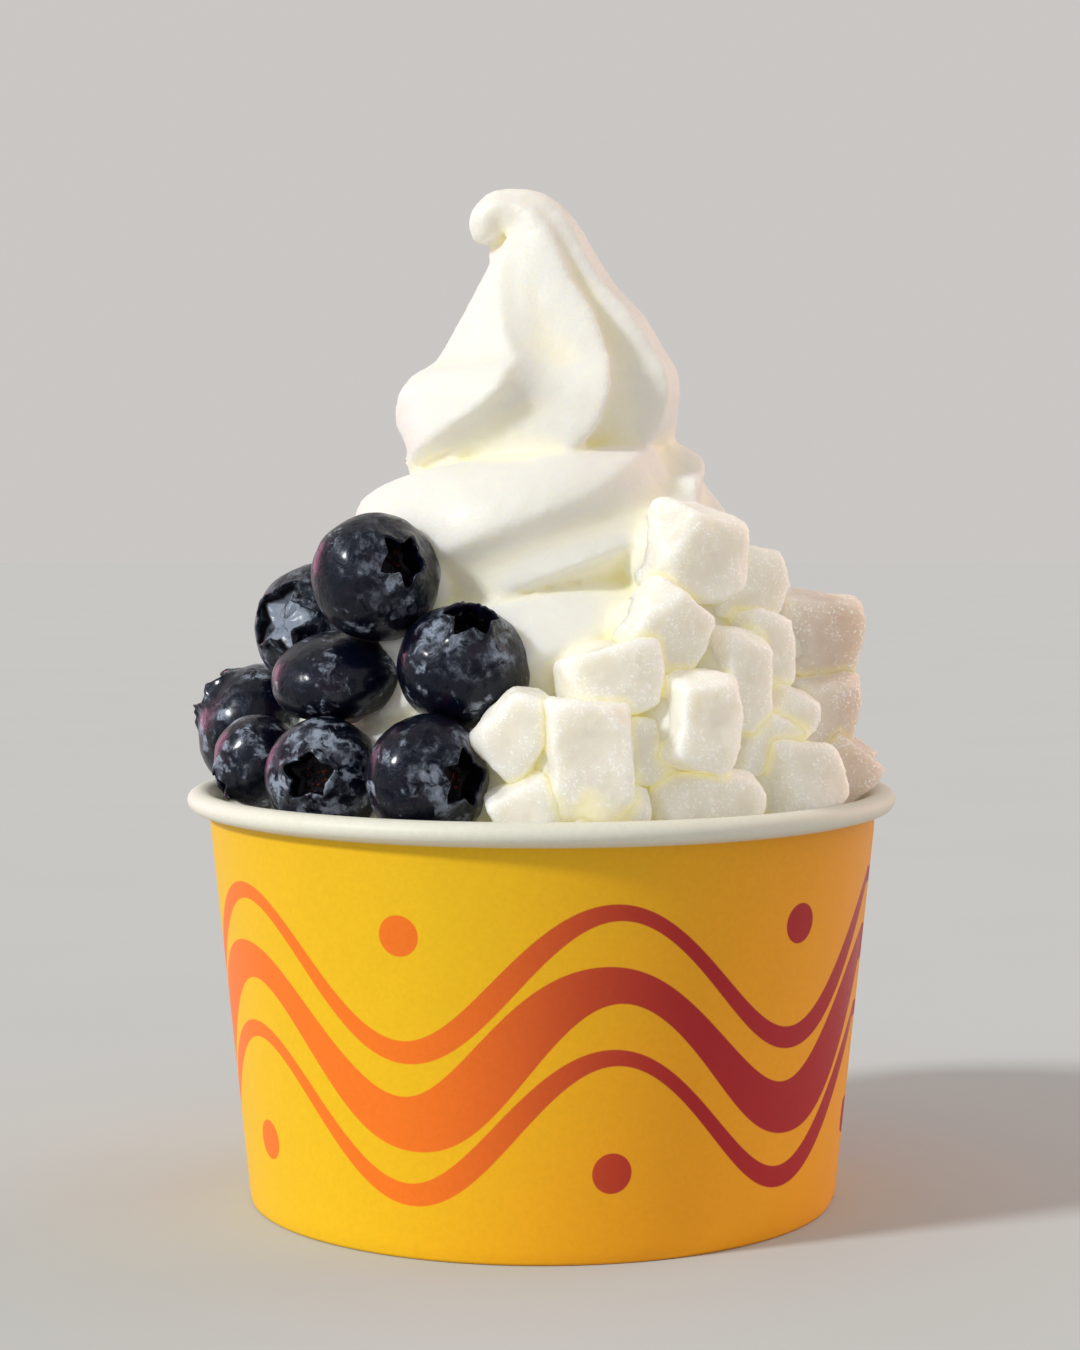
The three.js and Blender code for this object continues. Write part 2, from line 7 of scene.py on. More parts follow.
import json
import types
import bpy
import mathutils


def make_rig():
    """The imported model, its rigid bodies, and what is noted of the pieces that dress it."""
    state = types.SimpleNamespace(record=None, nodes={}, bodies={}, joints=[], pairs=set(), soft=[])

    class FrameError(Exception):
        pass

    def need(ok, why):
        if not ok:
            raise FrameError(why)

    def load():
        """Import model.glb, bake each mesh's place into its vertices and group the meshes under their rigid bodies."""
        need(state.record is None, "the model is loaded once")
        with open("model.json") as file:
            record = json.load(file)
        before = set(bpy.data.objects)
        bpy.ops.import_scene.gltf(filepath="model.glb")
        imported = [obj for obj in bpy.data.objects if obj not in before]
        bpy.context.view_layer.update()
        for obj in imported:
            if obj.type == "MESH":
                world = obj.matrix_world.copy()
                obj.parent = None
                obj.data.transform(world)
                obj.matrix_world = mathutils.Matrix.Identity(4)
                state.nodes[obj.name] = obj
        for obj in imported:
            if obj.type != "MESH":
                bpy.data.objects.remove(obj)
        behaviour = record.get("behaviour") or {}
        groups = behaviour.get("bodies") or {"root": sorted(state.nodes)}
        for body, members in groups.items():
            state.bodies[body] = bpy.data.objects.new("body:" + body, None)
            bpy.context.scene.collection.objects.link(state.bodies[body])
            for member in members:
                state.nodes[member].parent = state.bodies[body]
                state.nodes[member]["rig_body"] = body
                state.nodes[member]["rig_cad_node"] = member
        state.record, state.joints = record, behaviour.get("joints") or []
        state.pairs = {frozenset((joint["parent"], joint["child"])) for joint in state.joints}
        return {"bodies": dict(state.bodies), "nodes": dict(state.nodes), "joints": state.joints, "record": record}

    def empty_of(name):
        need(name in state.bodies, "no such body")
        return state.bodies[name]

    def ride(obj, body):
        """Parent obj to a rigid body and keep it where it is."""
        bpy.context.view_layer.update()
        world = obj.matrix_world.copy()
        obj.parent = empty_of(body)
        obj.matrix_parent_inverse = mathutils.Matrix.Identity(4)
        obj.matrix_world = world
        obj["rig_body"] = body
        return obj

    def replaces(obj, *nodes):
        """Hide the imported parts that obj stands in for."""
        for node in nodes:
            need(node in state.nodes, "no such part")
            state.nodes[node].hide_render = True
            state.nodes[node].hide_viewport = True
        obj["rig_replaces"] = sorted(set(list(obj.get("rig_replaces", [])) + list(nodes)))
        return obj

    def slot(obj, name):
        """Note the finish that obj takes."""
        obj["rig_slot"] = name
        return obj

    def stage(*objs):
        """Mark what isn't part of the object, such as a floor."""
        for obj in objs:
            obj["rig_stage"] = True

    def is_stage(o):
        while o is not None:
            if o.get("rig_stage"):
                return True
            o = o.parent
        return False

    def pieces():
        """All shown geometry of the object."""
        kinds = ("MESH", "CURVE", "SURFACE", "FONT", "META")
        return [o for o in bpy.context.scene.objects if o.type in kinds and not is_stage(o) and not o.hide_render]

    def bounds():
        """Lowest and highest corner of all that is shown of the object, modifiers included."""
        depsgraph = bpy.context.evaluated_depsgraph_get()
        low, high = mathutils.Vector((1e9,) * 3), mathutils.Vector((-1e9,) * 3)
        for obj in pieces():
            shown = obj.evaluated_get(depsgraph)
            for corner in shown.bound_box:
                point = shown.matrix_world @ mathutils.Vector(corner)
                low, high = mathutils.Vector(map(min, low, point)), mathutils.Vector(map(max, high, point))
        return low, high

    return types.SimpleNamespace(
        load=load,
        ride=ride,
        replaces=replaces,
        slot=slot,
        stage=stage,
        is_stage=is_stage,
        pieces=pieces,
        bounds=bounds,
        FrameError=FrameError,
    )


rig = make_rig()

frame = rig.load()
CAD_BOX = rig.bounds()

import json
import math
import random
from contextlib import contextmanager

import bpy
import numpy as np
from bpy.props import FloatProperty, FloatVectorProperty, IntProperty, PointerProperty
from bpy.types import Operator, Panel, PropertyGroup
from mathutils import Matrix, Vector
from mathutils.kdtree import KDTree

bl_info = {
    "name": "Frozen yogurt cup",
    "version": (1, 0, 0),
    "blender": (4, 5, 0),
    "location": "3D View > Sidebar > Yogurt cup",
    "description": "Models a paper cup of frozen yogurt with blueberries and mochi",
    "category": "Object",
}

MM = 0.001
MERGE = 1e-6  # vertices nearer than this become one, in metres
TURN = 2 * math.pi
ROOT = "root"

# ---- places, shared with the solids ----
# the coiled rope: turns from the front towards +X, distance from the axis, height, thickness
COIL = np.array([
    (-2.6, 24.5, 46.0, 11.0), (-2.25, 26.4, 52.5, 11.4), (-2.0, 25.2, 57.5, 11.4),
    (-1.5, 22.6, 66.0, 11.3), (-1.25, 21.2, 69.3, 11.2), (-1.0, 19.0, 72.6, 11.2),
    (-0.75, 19.6, 77.8, 11.2), (-0.5, 17.8, 83.2, 11.1), (-0.25, 16.4, 86.9, 11.1),
    (0.0, 15.0, 89.8, 11.2), (0.25, 14.8, 92.4, 10.9), (0.5, 12.0, 97.5, 10.4),
    (1.0, 5.5, 104.5, 9.0),
])
FLUTES = 8  # ridges round the rope
COIL_TWIST = 274  # how far they wind round the rope in each turn, in degrees
COIL_CREST = 18  # where the first of them lies at the front, in degrees up from outwards
COIL_GROOVE = 0.16  # how deep the grooves are, as a share of the thickness
GROOVE_SHARPNESS = 0.95  # the less, the sharper the ridges
GROOVE_SKEW = 0.8  # below 1 the top's grooves are steeper on one side
PRESSED_FLAT = 0.85  # share of a groove that is pressed away
# the pocket at the right: its depth and where it lies round the rope, in degrees, and for the
# lip before it, how far its ridge is turned and where that lies
POCKET_DEPTH = 0.2
POCKET_BEARING = 25
LIP_TURN = 16
LIP_BEARING = 45
# the top's middle line and radius: across, up, radius
TOP = np.array([
    (-1.5, 95.6, 12.0), (-1.3, 98.6, 15.6), (-0.8, 102.3, 18.8), (-0.5, 105.4, 19.6),
    (-0.1, 108.3, 19.6), (0.8, 111.3, 18.5), (2.0, 113.4, 16.4), (1.7, 119.1, 12.8),
    (0.5, 124.5, 9.0), (-0.4, 129.6, 6.0), (-2.7, 132.9, 4.0), (-5.5, 133.6, 3.0),
    (-7.4, 131.8, 2.5), (-7.2, 130.6, 2.3), (-6.7, 129.7, 1.4),
])
# its ridges: bearings of each at these heights, in degrees, and the depth of the groove after it
RIDGE_HEIGHTS = np.array(
    [98.8, 99.8, 102.0, 104.5, 107.0, 109.5, 112.5, 116.5, 121.0, 126.0, 131.0])
RIDGES = np.array([
    (-126, -121, -112, -102, -92, -84, -84, -88, -94, -100, -106),
    (-86, -76, -52, -35.5, -23, -17, -18.5, -28, -38, -47, -54),
    (-34, -5, 18, 24, 26, 27, 25.5, 25, 23.5, 20.5, 18),
    (40, 46, 52, 57, 60, 60, 58, 55, 52, 50, 48),
    (80, 85, 94, 102, 107, 109, 108, 106, 103, 100, 96),
    (118, 123, 132, 140, 145, 147, 147, 145, 142, 139, 135),
    (158, 163, 172, 180, 185, 187, 187, 185, 182, 179, 175),
    (200, 205, 213, 221, 227, 229, 228, 225, 221, 217, 213),
], dtype=float)
GROOVES = np.array([0.06, 0.18, 0.25, 0.05, 0.17, 0.17, 0.17, 0.13])
# slight folds between them: bearing, its change for each mm up, lowest and highest, width, rise
FOLDS = [(-17.5, -0.3, 114.0, 129.0, 6.0, 0.022), (-32.0, -1.6, 108.0, 124.0, 5.0, 0.014)]
FOLD_STEEPNESS = 2.2  # of their one side, where the other's is 1
TOP_FOOT = 98.8
TIP_GROOVES = 0.4  # how deep the grooves still are at the tip, as a share
# how far along the middle line the top begins to curl over, and within what length
CURL_FROM = 29
CURL_OVER = 6
# a fold of the neck that the curled tip lies against: middle and radius
TIP_FOLD = ((-4.1, 1.8, 127.5), 3.1)

FILL_EDGE = 53.2  # heights of the fill at the wall and at its middle
FILL_MIDDLE = 56.5
FILL_CUT = 49.0  # below this it is hidden and plain
CORE_RADIUS = 15  # inside the coil
GAP = 0.3  # between the fill and the wall
# size of the mounds under a topping and how far behind its middle, as shares of its size
BERRY_BED = (0.7, 0.8)
MOCHI_BED = (1.1, 0.5)
BED_DROP = 1  # how far below it
# these set the yogurt's painted shade: the deeper a vertex lies in a hollow or between mochi, the more deep cream
# shade is painted on it
HOLLOW_PASSES = 60  # the more, the wider the hollows that are found
DEEPEST_HOLLOW = 1.5  # they count up to this depth
UNDER_MOCHI = 1.4  # and yogurt between pieces of mochi counts as this much deeper

# middle, radius, height as a share of width, where the crown points, how far its sepals stand
# up, size of its pit, whether a pale pad fills the pit, and how pale the skin is round the crown
BLUEBERRIES = [
    ((-21.2, -22.5, 84.9), 8.3, 0.96, (0.5, -0.8, 0.3), 0.03, 1.05, 0, 0.4),
    ((-30.2, -3.0, 77.6), 8.6, 0.97, (-0.56, -0.8, 0.21), 0.12, 1.5, 1, 0.5),
    ((-26.4, -18.9, 71.9), 8.8, 0.64, (0.1, 0.25, -0.96), 0.03, 1.0, 0, 0.0),
    ((-9.9, -27.5, 73.7), 8.5, 0.9, (0.15, -0.58, 0.8), 0.13, 1.15, 0, 0.6),
    ((-38.8, 4.5, 63.6), 9.1, 0.9, (-0.82, 0.1, 0.56), 0.13, 1.3, 0, 0.4),
    ((-37.0, -14.7, 60.5), 6.3, 0.95, (-0.82, -0.3, -0.48), 0.05, 1.0, 0, 0.2),
    ((-27.6, -26.6, 59.6), 7.7, 0.9, (-0.22, -0.97, 0.12), 0.03, 1.2, 0, 1.0),
    ((-14.1, -35.2, 60.2), 8.1, 0.88, (0.66, -0.73, 0.06), 0.04, 1.2, 0, 0.6),
    ((-31.0, 21.5, 60.5), 7.2, 0.92, (-0.6, 0.6, 0.5), 0.05, 1.0, 0, 0.4),
    ((-26.0, 14.0, 73.5), 7.0, 0.94, (-0.5, 0.5, 0.7), 0.08, 1.1, 0, 0.4),
    ((-19.0, 32.6, 60.2), 7.4, 0.9, (-0.4, 0.85, 0.3), 0.04, 1.0, 0, 0.4),
]
# middle, half of each size, how far it leans to the right and is turned, in degrees, and how
# round it is, 0 with all its corners and 1 with none
MOCHI = [
    ((19.1, -21.3, 88.3), (6.6, 6.0, 6.3), -6, 25, 0.9),
    ((25.8, -14.2, 84.0), (4.6, 5.0, 4.8), -9, 35, 0.1),
    ((35.4, -5.8, 77.0), (6.0, 5.8, 5.6), -6, 14, 0.1),
    ((14.9, -27.8, 78.1), (5.0, 5.2, 6.1), -28, 18, 0.2),
    ((24.8, -24.3, 72.1), (4.0, 4.4, 6.3), -6, 18, 0.1),
    ((28.0, -17.2, 75.6), (3.8, 4.6, 4.9), -4, 30, 0.1),
    ((8.6, -32.8, 72.2), (6.5, 5.2, 4.7), 8, 5, 0.5),
    ((19.1, -33.2, 66.9), (4.6, 5.2, 6.4), -6, 20, 0.1),
    ((5.7, -39.0, 62.9), (6.0, 5.0, 7.2), -5, 4, 0.1),
    ((-2.6, -36.2, 66.0), (4.9, 5.2, 5.8), -32, -6, 0.8),
    ((-1.6, -39.0, 56.8), (4.9, 4.4, 4.0), 25, -8, 0.5),
    ((8.1, -37.6, 56.2), (4.9, 4.4, 4.0), -4, 10, 0.3),
    ((20.1, -31.6, 56.6), (6.6, 5.4, 5.0), 4, 25, 0.9),
    ((32.2, -22.1, 58.7), (4.9, 5.4, 5.8), 12, 42, 0.3),
    ((39.2, -10.4, 58.9), (4.4, 5.0, 4.2), -38, 14, 0.1),
    ((30.7, -19.0, 67.3), (3.8, 4.8, 3.6), -33, 25, 0.1),
    ((36.8, -9.6, 66.5), (4.7, 5.4, 5.7), -3, 18, 0.1),
    ((40.2, 3.2, 58.6), (4.2, 5.0, 4.6), -34, 5, 0.1),
    ((12.8, -31.6, 63.2), (4.2, 4.4, 4.8), 10, 15, 0.1),
    ((27.2, -21.6, 63.6), (4.6, 4.6, 4.8), -15, 40, 0.1),
    ((35.6, 14.0, 60.0), (5.6, 5.0, 5.2), 15, 110, 0.3),
    ((33.6, 8.2, 71.4), (5.2, 5.4, 5.6), -12, 100, 0.3),
    ((30.4, 24.2, 59.6), (5.8, 5.2, 5.0), 20, 128, 0.3),
    ((26.6, 18.4, 70.6), (5.4, 5.0, 5.2), -24, 120, 0.3),
    ((21.0, 32.6, 59.2), (5.4, 5.2, 4.9), 10, 146, 0.3),
]


# ---- settings ----
def length(name, description, default):
    return FloatProperty(name=name, description=description, default=default, min=0, unit="LENGTH")


def colour(name, description, default):
    return FloatVectorProperty(
        name=name, description=description, default=default, min=0, max=1, size=3, subtype="COLOR")


def strength(name, description, default):
    return FloatProperty(name=name, description=description, default=default, min=0)


class CupSettings(PropertyGroup):
    """Sizes and colours of the paper cup."""
    rim_radius: length("Rim radius", "Outside of the rolled rim", 0.048)
    height: length("Height", "From the foot to the top of the rim", 0.056)
    foot_radius: length("Foot radius", "Outside of the wall where it stands", 0.0397)
    roll_width: length("Roll width", "Section of the rolled rim, across", 0.0035)
    roll_height: length("Roll height", "Section of the rolled rim, upright", 0.0029)
    paper: length("Paper", "Thickness of the wall", 0.0006)
    plain_paper: colour("Plain paper", "Unprinted paper at the rim and inside", (0.80, 0.79, 0.68))
    print_first: colour("Print, first colour", "Field of colour on the left", (0.87, 0.52, 0.004))
    print_last: colour("Print, last colour", "Field of colour on the right", (0.91, 0.375, 0.006))
    band_first: colour("Band, first colour", "Colour of the bands on the left", (0.92, 0.19, 0.010))
    band_last: colour("Band, last colour", "Colour of the bands on the right", (0.42, 0.012, 0.016))


class YogurtSettings(PropertyGroup):
    """Sizes and colours of the frozen yogurt."""
    grid: length("Grid", "Size of the faces of the modelled swirl", 0.00058)
    # painted light: the crests are painted dimmer and the flanks lighter and warmer, which flattens the shading and
    # paints warm shade between the ridges
    crest: colour("Crests", "Colour of the ridges", (0.805, 0.795, 0.745))
    flank: colour("Flanks", "Colour between the ridges", (0.90, 0.87, 0.715))
    # painted shade: the deep cream of the creases stands for the shade there
    crease: colour("Creases", "Colour deep in the creases", (0.88, 0.82, 0.42))
    # partly painted: the frost specks are white ice, painted bright enough to stand for sparkle
    frost_sparkle: colour("Frost", "Ice crystals on the ridges", (0.97, 0.965, 0.93))


class BerrySettings(PropertyGroup):
    """Detail and colours of the blueberries."""
    segments: IntProperty(name="Segments", description="Faces round a berry", default=90, min=24)
    skin: colour("Skin", "Bare skin", (0.0010, 0.0022, 0.0085))
    purple: colour("Purple", "Redder parts of the skin", (0.012, 0.0025, 0.010))
    bloom: colour("Bloom", "Waxy bloom on the skin", (0.262, 0.305, 0.385))
    pit: colour("Pit", "Inside the crown", (0.004, 0.002, 0.003))
    bits: colour("Dry bits", "Dried bits inside the crown", (0.20, 0.035, 0.012))


class MochiSettings(PropertyGroup):
    """Sizes and colours of the mochi."""
    grid: length("Grid", "Size of the faces of a modelled piece", 0.0004)
    dough: colour("Dough", "The rice dough", (0.735, 0.708, 0.63))
    powder: colour("Powder", "Its powdery coat", (0.75, 0.735, 0.675))
    # painted shade: pieces to the right and back are painted darker and rosier, with a dimmer painted glow
    right_shade: colour("Shaded", "Darker dough on the right", (0.60, 0.41, 0.31))
    right_shade_glow: colour("Toasted, inside", "Light that comes through it", (0.14, 0.08, 0.05))
    # painted shade: the colour painted where pieces lie against each other
    shadow: colour("Between pieces", "Where pieces lie against each other", (0.96, 0.88, 0.48))
    # partly painted: the crystal specks are painted white enough to stand for their sparkle
    crystal_sparkle: colour("Crystals", "Sparkling specks on the coat", (1.0, 1.0, 0.98))


class StageSettings(PropertyGroup):
    """The floor and the light."""
    floor: colour("Floor", "Plain pale floor", (0.525, 0.56, 0.56))
    sky: colour("Surroundings", "Soft light from all round", (0.84, 0.815, 0.79))
    sky_strength: strength("Surroundings, strength", "Strength of that light", 0.70)
    key_strength: strength("Main light", "Strength of the main light", 2.2)
    fill_strength: strength("Fill light", "Strength of the warm side light", 1.1)
    rear_strength: strength("Rear light", "Strength of the rosy rear light", 0.45)


class CupOfYogurt(PropertyGroup):
    """All settings of the cup of frozen yogurt."""
    cup: PointerProperty(type=CupSettings)
    yogurt: PointerProperty(type=YogurtSettings)
    berry: PointerProperty(type=BerrySettings)
    mochi: PointerProperty(type=MochiSettings)
    stage: PointerProperty(type=StageSettings)


# ---- materials ----
def worked(operation, reflected=False):
    """A method that adds the Math node of that operation, for a wire and the values after it."""
    def method(wire, *others):
        values = (*others, wire) if reflected else (wire, *others)
        return wire.finish.node("ShaderNodeMath", {"operation": operation}, dict(enumerate(values)))
    return method


class Wire:
    """An output socket in a finish, with arithmetic on its values."""

    def __init__(self, finish, socket):
        self.finish = finish
        self.socket = socket

    def __neg__(self):
        return self * -1

    __add__ = __radd__ = worked("ADD")
    __sub__ = worked("SUBTRACT")
    __rsub__ = worked("SUBTRACT", reflected=True)
    __mul__ = __rmul__ = worked("MULTIPLY")
    __truediv__ = worked("DIVIDE")
    __rtruediv__ = worked("DIVIDE", reflected=True)
    __pow__ = worked("POWER")
    __rpow__ = worked("POWER", reflected=True)
    __abs__ = worked("ABSOLUTE")
    sine = worked("SINE")
    cosine = worked("COSINE")
    fraction = worked("FRACT")
    arctan2 = worked("ARCTAN2")
    larger = worked("MAXIMUM")


class Finish:
    """A material and its nodes, round one Principled shader."""

    def __init__(self, name, **uniform):
        self.material = bpy.data.materials.new(name)
        self.material.use_nodes = True
        self.tree = self.material.node_tree
        self.shader = self.tree.nodes["Principled BSDF"]
        for socket, value in uniform.items():
            self.shader.inputs[socket.replace("_", " ")].default_value = value
        self.place = self.node("ShaderNodeTexCoord", output="Object")

    def node(self, kind, settings=None, sockets=None, output=0):
        """Any node: its settings are set first, then the values or links of its sockets."""
        made = self.tree.nodes.new(kind)
        for setting, value in (settings or {}).items():
            setattr(made, setting, value)
        for key, value in (sockets or {}).items():
            self.put(made.inputs[key], value)
        return Wire(self, made.outputs[output])

    def put(self, socket, value):
        if isinstance(value, Wire):
            self.tree.links.new(value.socket, socket)
        elif socket.type == "RGBA":
            socket.default_value = (*value[:3], 1)
        else:
            socket.default_value = value

    def surface(self, **sockets):
        """Sets or links sockets of the shader, and gives back the finished material."""
        for socket, value in sockets.items():
            self.put(self.shader.inputs[socket.replace("_", " ")], value)
        return self.material

    def blend(self, share, a, b, kind="MIX"):
        """Colour a where the share is 0 and colour b where it is 1."""
        return self.node("ShaderNodeMix", {"data_type": "RGBA", "blend_type": kind},
                         {0: share, 6: a, 7: b}, output=2)

    def ease(self, value, low, high, start=0.0, end=1.0):
        """Goes smoothly from start to end as the value goes from low to high."""
        return self.node("ShaderNodeMapRange", {"interpolation_type": "SMOOTHSTEP"},
                         {"Value": value, "From Min": low, "From Max": high,
                          "To Min": start, "To Max": end})

    def noise(self, size, detail, roughness, distortion=0.0, seed=0.0):
        """Soft random values with features of that size, in millimetres."""
        return self.node("ShaderNodeTexNoise", {"noise_dimensions": "4D"}, {
            "Vector": self.place, "W": seed, "Scale": 1 / (size * MM), "Detail": detail,
            "Roughness": roughness, "Distortion": distortion})

    def cells(self, size, seed=0.0):
        """Distances in a pattern of cells of that size, in millimetres."""
        return self.node("ShaderNodeTexVoronoi", {"voronoi_dimensions": "4D"}, {
            "Vector": self.place, "W": seed, "Scale": 1 / (size * MM)}, output="Distance")

    def attribute(self, name):
        return self.node("ShaderNodeAttribute", {"attribute_name": name}, output="Fac")

    def bump(self, height, depth):
        """Relief of the height's values times the depth, in millimetres."""
        return self.node("ShaderNodeBump", None,
                         {"Height": height, "Distance": depth * MM, "Strength": 1.0})

    def axes(self):
        """Place on the object along X, Y and Z, in millimetres."""
        split = self.node("ShaderNodeSeparateXYZ", None, {0: self.place}).socket.node
        return [Wire(self, socket) * (1 / MM) for socket in split.outputs]


def scaled(tone, share):
    """A colour made darker, to that share of it."""
    return [value * share for value in tone]


# the print's pattern: waves round the cup, their phase, how far they rise, the dots' radius
PRINT_WAVES = 5
PRINT_PHASE = 0.5
PRINT_RISE = 9.0
DOT_RADIUS = 2.6


def printed_paper(cup):
    """Coated paper, printed outside with wavy bands over a field of colour, plain inside."""
    finish = Finish("printed_paper", Specular_IOR_Level=0.3)
    x, y, z = finish.axes()
    bearing = x.arctan2(-y)
    reach = (x * x + y * y) ** 0.5
    foot = cup.foot_radius / MM
    body_height = (cup.height - cup.roll_height) / MM
    body_radius = (cup.rim_radius - cup.roll_width + cup.paper) / MM
    paper = cup.paper / MM
    around = TURN * (foot + body_radius) / 2
    inset = foot + z * ((body_radius - foot) / body_height) - reach
    outside = finish.ease(inset, paper * 0.4, paper * 0.6, 1, 0)
    below_rim = finish.ease(z, body_height - 0.5, body_height - 0.2, 1, 0)
    hem = (finish.ease(inset, paper * 2, paper * 2.2)
           * finish.ease(z, HEM_HEIGHT, HEM_HEIGHT + 0.3, 1, 0))
    printed = (outside * below_rim).larger(hem)
    swing = bearing * PRINT_WAVES + PRINT_PHASE
    slope = swing.cosine() * (PRINT_RISE * PRINT_WAVES * TURN / around)
    lean = (slope * slope + 1) ** 0.5
    swell = (swing + 0.6).cosine()

    def band(middle, half, swelling):
        """A wavy band round the cup, thick and thin by turns."""
        offset = abs(z - middle - swing.sine() * PRINT_RISE)
        return finish.ease(offset / lean - (swell * swelling + half), -0.1, 0.1, 1, 0)

    def dots(middle, shift):
        """A row of dots round the cup, one for each wave."""
        share = (swing + shift) / TURN + 8.0  # whole turns, to stay above 0
        local = (share.fraction() - 0.5) * (around / PRINT_WAVES)
        up = z - middle
        distance = (local * local + up * up) ** 0.5
        return finish.ease(distance, DOT_RADIUS * 0.97, DOT_RADIUS * 1.03, 1, 0)

    pattern = band(26.5, 2.9, 1.0)
    for other in (band(35.6, 1.25, 0.35), band(17.4, 1.25, 0.35),
                  dots(41.3, -math.pi / 2), dots(11.7, math.pi / 2)):
        pattern = pattern.larger(other)
    grain = finish.noise(0.7, 4, 0.65)
    mottle = finish.noise(7, 3, 0.6, seed=3)
    turning = bearing.sine()
    low = 1 - z / (cup.height / MM)
    ground = finish.blend(finish.ease(turning + low * 0.55 + mottle * 0.2, -0.15, 1.05),
                          cup.print_first, cup.print_last)
    ink = finish.blend(finish.ease(turning, -0.5, 0.5), cup.band_first, cup.band_last)
    inked = finish.blend(pattern, ground, ink)
    tone = finish.blend(printed, cup.plain_paper, inked)
    # painted light: besides the paper's own fine mottle, the colour is painted lighter towards the bottom and darker
    # at the upper right, where light and shade fall
    shade = finish.ease(grain + mottle * 0.4, 0.35, 1.05, 0.94, 1.04) * (
        low * 0.16 + turning * (low - 0.5) * 0.12 + 0.94)
    grey = finish.node("ShaderNodeCombineColor", None, {0: shade, 1: shade, 2: shade})
    fibres = finish.noise(0.35, 5, 0.7, seed=7)
    return finish.surface(
        Base_Color=finish.blend(1.0, tone, grey, "MULTIPLY"),
        Roughness=finish.ease(grain, 0.3, 0.7, 0.42, 0.52) + pattern * printed * -0.05,
        Normal=finish.bump(fibres + mottle * 1.5, 0.018),
    )


def plain_paper(cup):
    """Uncoated side of the cup's paper."""
    finish = Finish("plain_paper", Specular_IOR_Level=0.35)
    fibres = finish.noise(0.4, 5, 0.7, distortion=0.4)
    mottle = finish.noise(5, 3, 0.6, seed=2)
    return finish.surface(
        Base_Color=finish.blend(finish.ease(fibres + mottle * 0.5, 0.45, 1.0),
                                scaled(cup.plain_paper, 0.92), cup.plain_paper),
        Roughness=finish.ease(fibres, 0.3, 0.7, 0.55, 0.68),
        Normal=finish.bump(fibres + mottle, 0.03),
    )


def yogurt_finish(yogurt):
    """Frozen yogurt: frosty ridges with painted sparkle, painted deep cream shade in its creases, and a faint painted
    glow.
    """
    finish = Finish("frozen_yogurt", Subsurface_Weight=0.55, Subsurface_Scale=1.0,
                    Subsurface_Radius=(0.0050, 0.0040, 0.0020), Specular_IOR_Level=0.35,
                    Coat_Roughness=0.25, Emission_Strength=0.09)
    hollow = finish.attribute("hollow")
    frost_sparkle = finish.noise(0.5, 4, 0.7)
    cloud = finish.noise(6, 3, 0.55, seed=5)
    grit = finish.cells(0.55, seed=1)
    # painted light: dimmer crests and lighter, warmer flanks flatten the shading, with warm shade painted between the
    # ridges
    tone = finish.blend(finish.ease(hollow + cloud * 0.1 - 0.05, -0.2, 0.5),
                        yogurt.crest, yogurt.flank)
    # painted shade: deep creases and yogurt between mochi are painted deep cream
    deep = finish.ease(hollow, 0.5, 1.9)
    tone = finish.blend(deep, tone, yogurt.crease)
    # white frost specks on the crests: ice crystals, painted bright as a sparkle
    sparkle = finish.ease(frost_sparkle, 0.62, 0.8) * finish.ease(hollow, 0.0, -0.25)
    tone = finish.blend(sparkle * 0.6, tone, yogurt.frost_sparkle)
    return finish.surface(
        Base_Color=tone,
        Roughness=finish.ease(frost_sparkle, 0.3, 0.7, 0.38, 0.58),
        Coat_Weight=finish.ease(cloud, 0.45, 0.7, 0.0, 0.18),
        # painted glow: the yogurt gives off a faint light of its own, more and deep cream in the creases, which
        # lightens its shade
        Emission_Color=finish.blend(deep, scaled(yogurt.flank, 0.35), yogurt.crease),
        Normal=finish.bump(frost_sparkle * 0.8 + grit * 0.5 + cloud * 1.2, 0.07),
    )


def berry_finish(berry):
    """Blueberry skin with patchy bloom, wet in places, and a dry crown."""
    finish = Finish("blueberry", Specular_IOR_Level=0.12, Coat_Roughness=0.17,
                    Specular_Tint=(0.55, 0.70, 1.0, 1.0))
    crown = finish.attribute("crown")
    patch = finish.noise(5.0, 3, 0.55, distortion=0.5, seed=4)
    smear = finish.noise(1.7, 4, 0.6, distortion=0.9, seed=9)
    speck = finish.noise(0.35, 3, 0.6, seed=6)
    wet = finish.ease(smear, 0.3, 0.5, 0.04, 0.48)
    waxed = (finish.ease(patch + smear * 0.6, 0.83, 0.97) * finish.ease(speck, 0.3, 0.6, 0.5, 1.0)
             * finish.ease(smear, 0.3, 0.5, 0.4, 1.0))
    near_crown = finish.ease(crown, 1.35, 0.95) * finish.ease(crown, 0.62, 0.8)
    ringed = near_crown * finish.attribute("ring") * finish.ease(smear + patch * 0.4, 0.58, 0.8)
    waxed = waxed.larger(ringed)
    purple = finish.ease(finish.noise(5, 3, 0.6, seed=15), 0.5, 0.68)
    skin = finish.blend(purple * 0.6, berry.skin, berry.purple)
    cloudy = finish.ease(finish.noise(2.6, 3, 0.6, seed=40), 0.38, 0.62, 0.18, 1.0)
    tone = finish.blend(finish.ease(waxed * cloudy, 0.02, 0.95), skin, berry.bloom)
    inside = finish.ease(crown, 0.7, 0.56)
    bits = finish.ease(finish.noise(1.1, 4, 0.6, distortion=1.5, seed=20), 0.54, 0.68)
    dry = finish.blend(bits * finish.ease(crown, 0.46, 0.2), berry.pit, berry.bits)
    bottom = finish.ease(crown, 0.46, 0.38) * finish.attribute("pad")
    dry = finish.blend(bottom * finish.ease(smear, 0.3, 0.5), dry, berry.bloom)
    wrinkle = finish.noise(1.4, 5, 0.62, distortion=0.9, seed=30)
    return finish.surface(
        Base_Color=finish.blend(inside, tone, dry),
        Roughness=finish.ease(waxed, 0.1, 0.9, 0.3, 0.42) + inside * 0.25,
        Coat_Weight=wet * (1 - inside * 0.7),
        Normal=finish.bump(wrinkle + speck * 0.1, 0.24),
    )


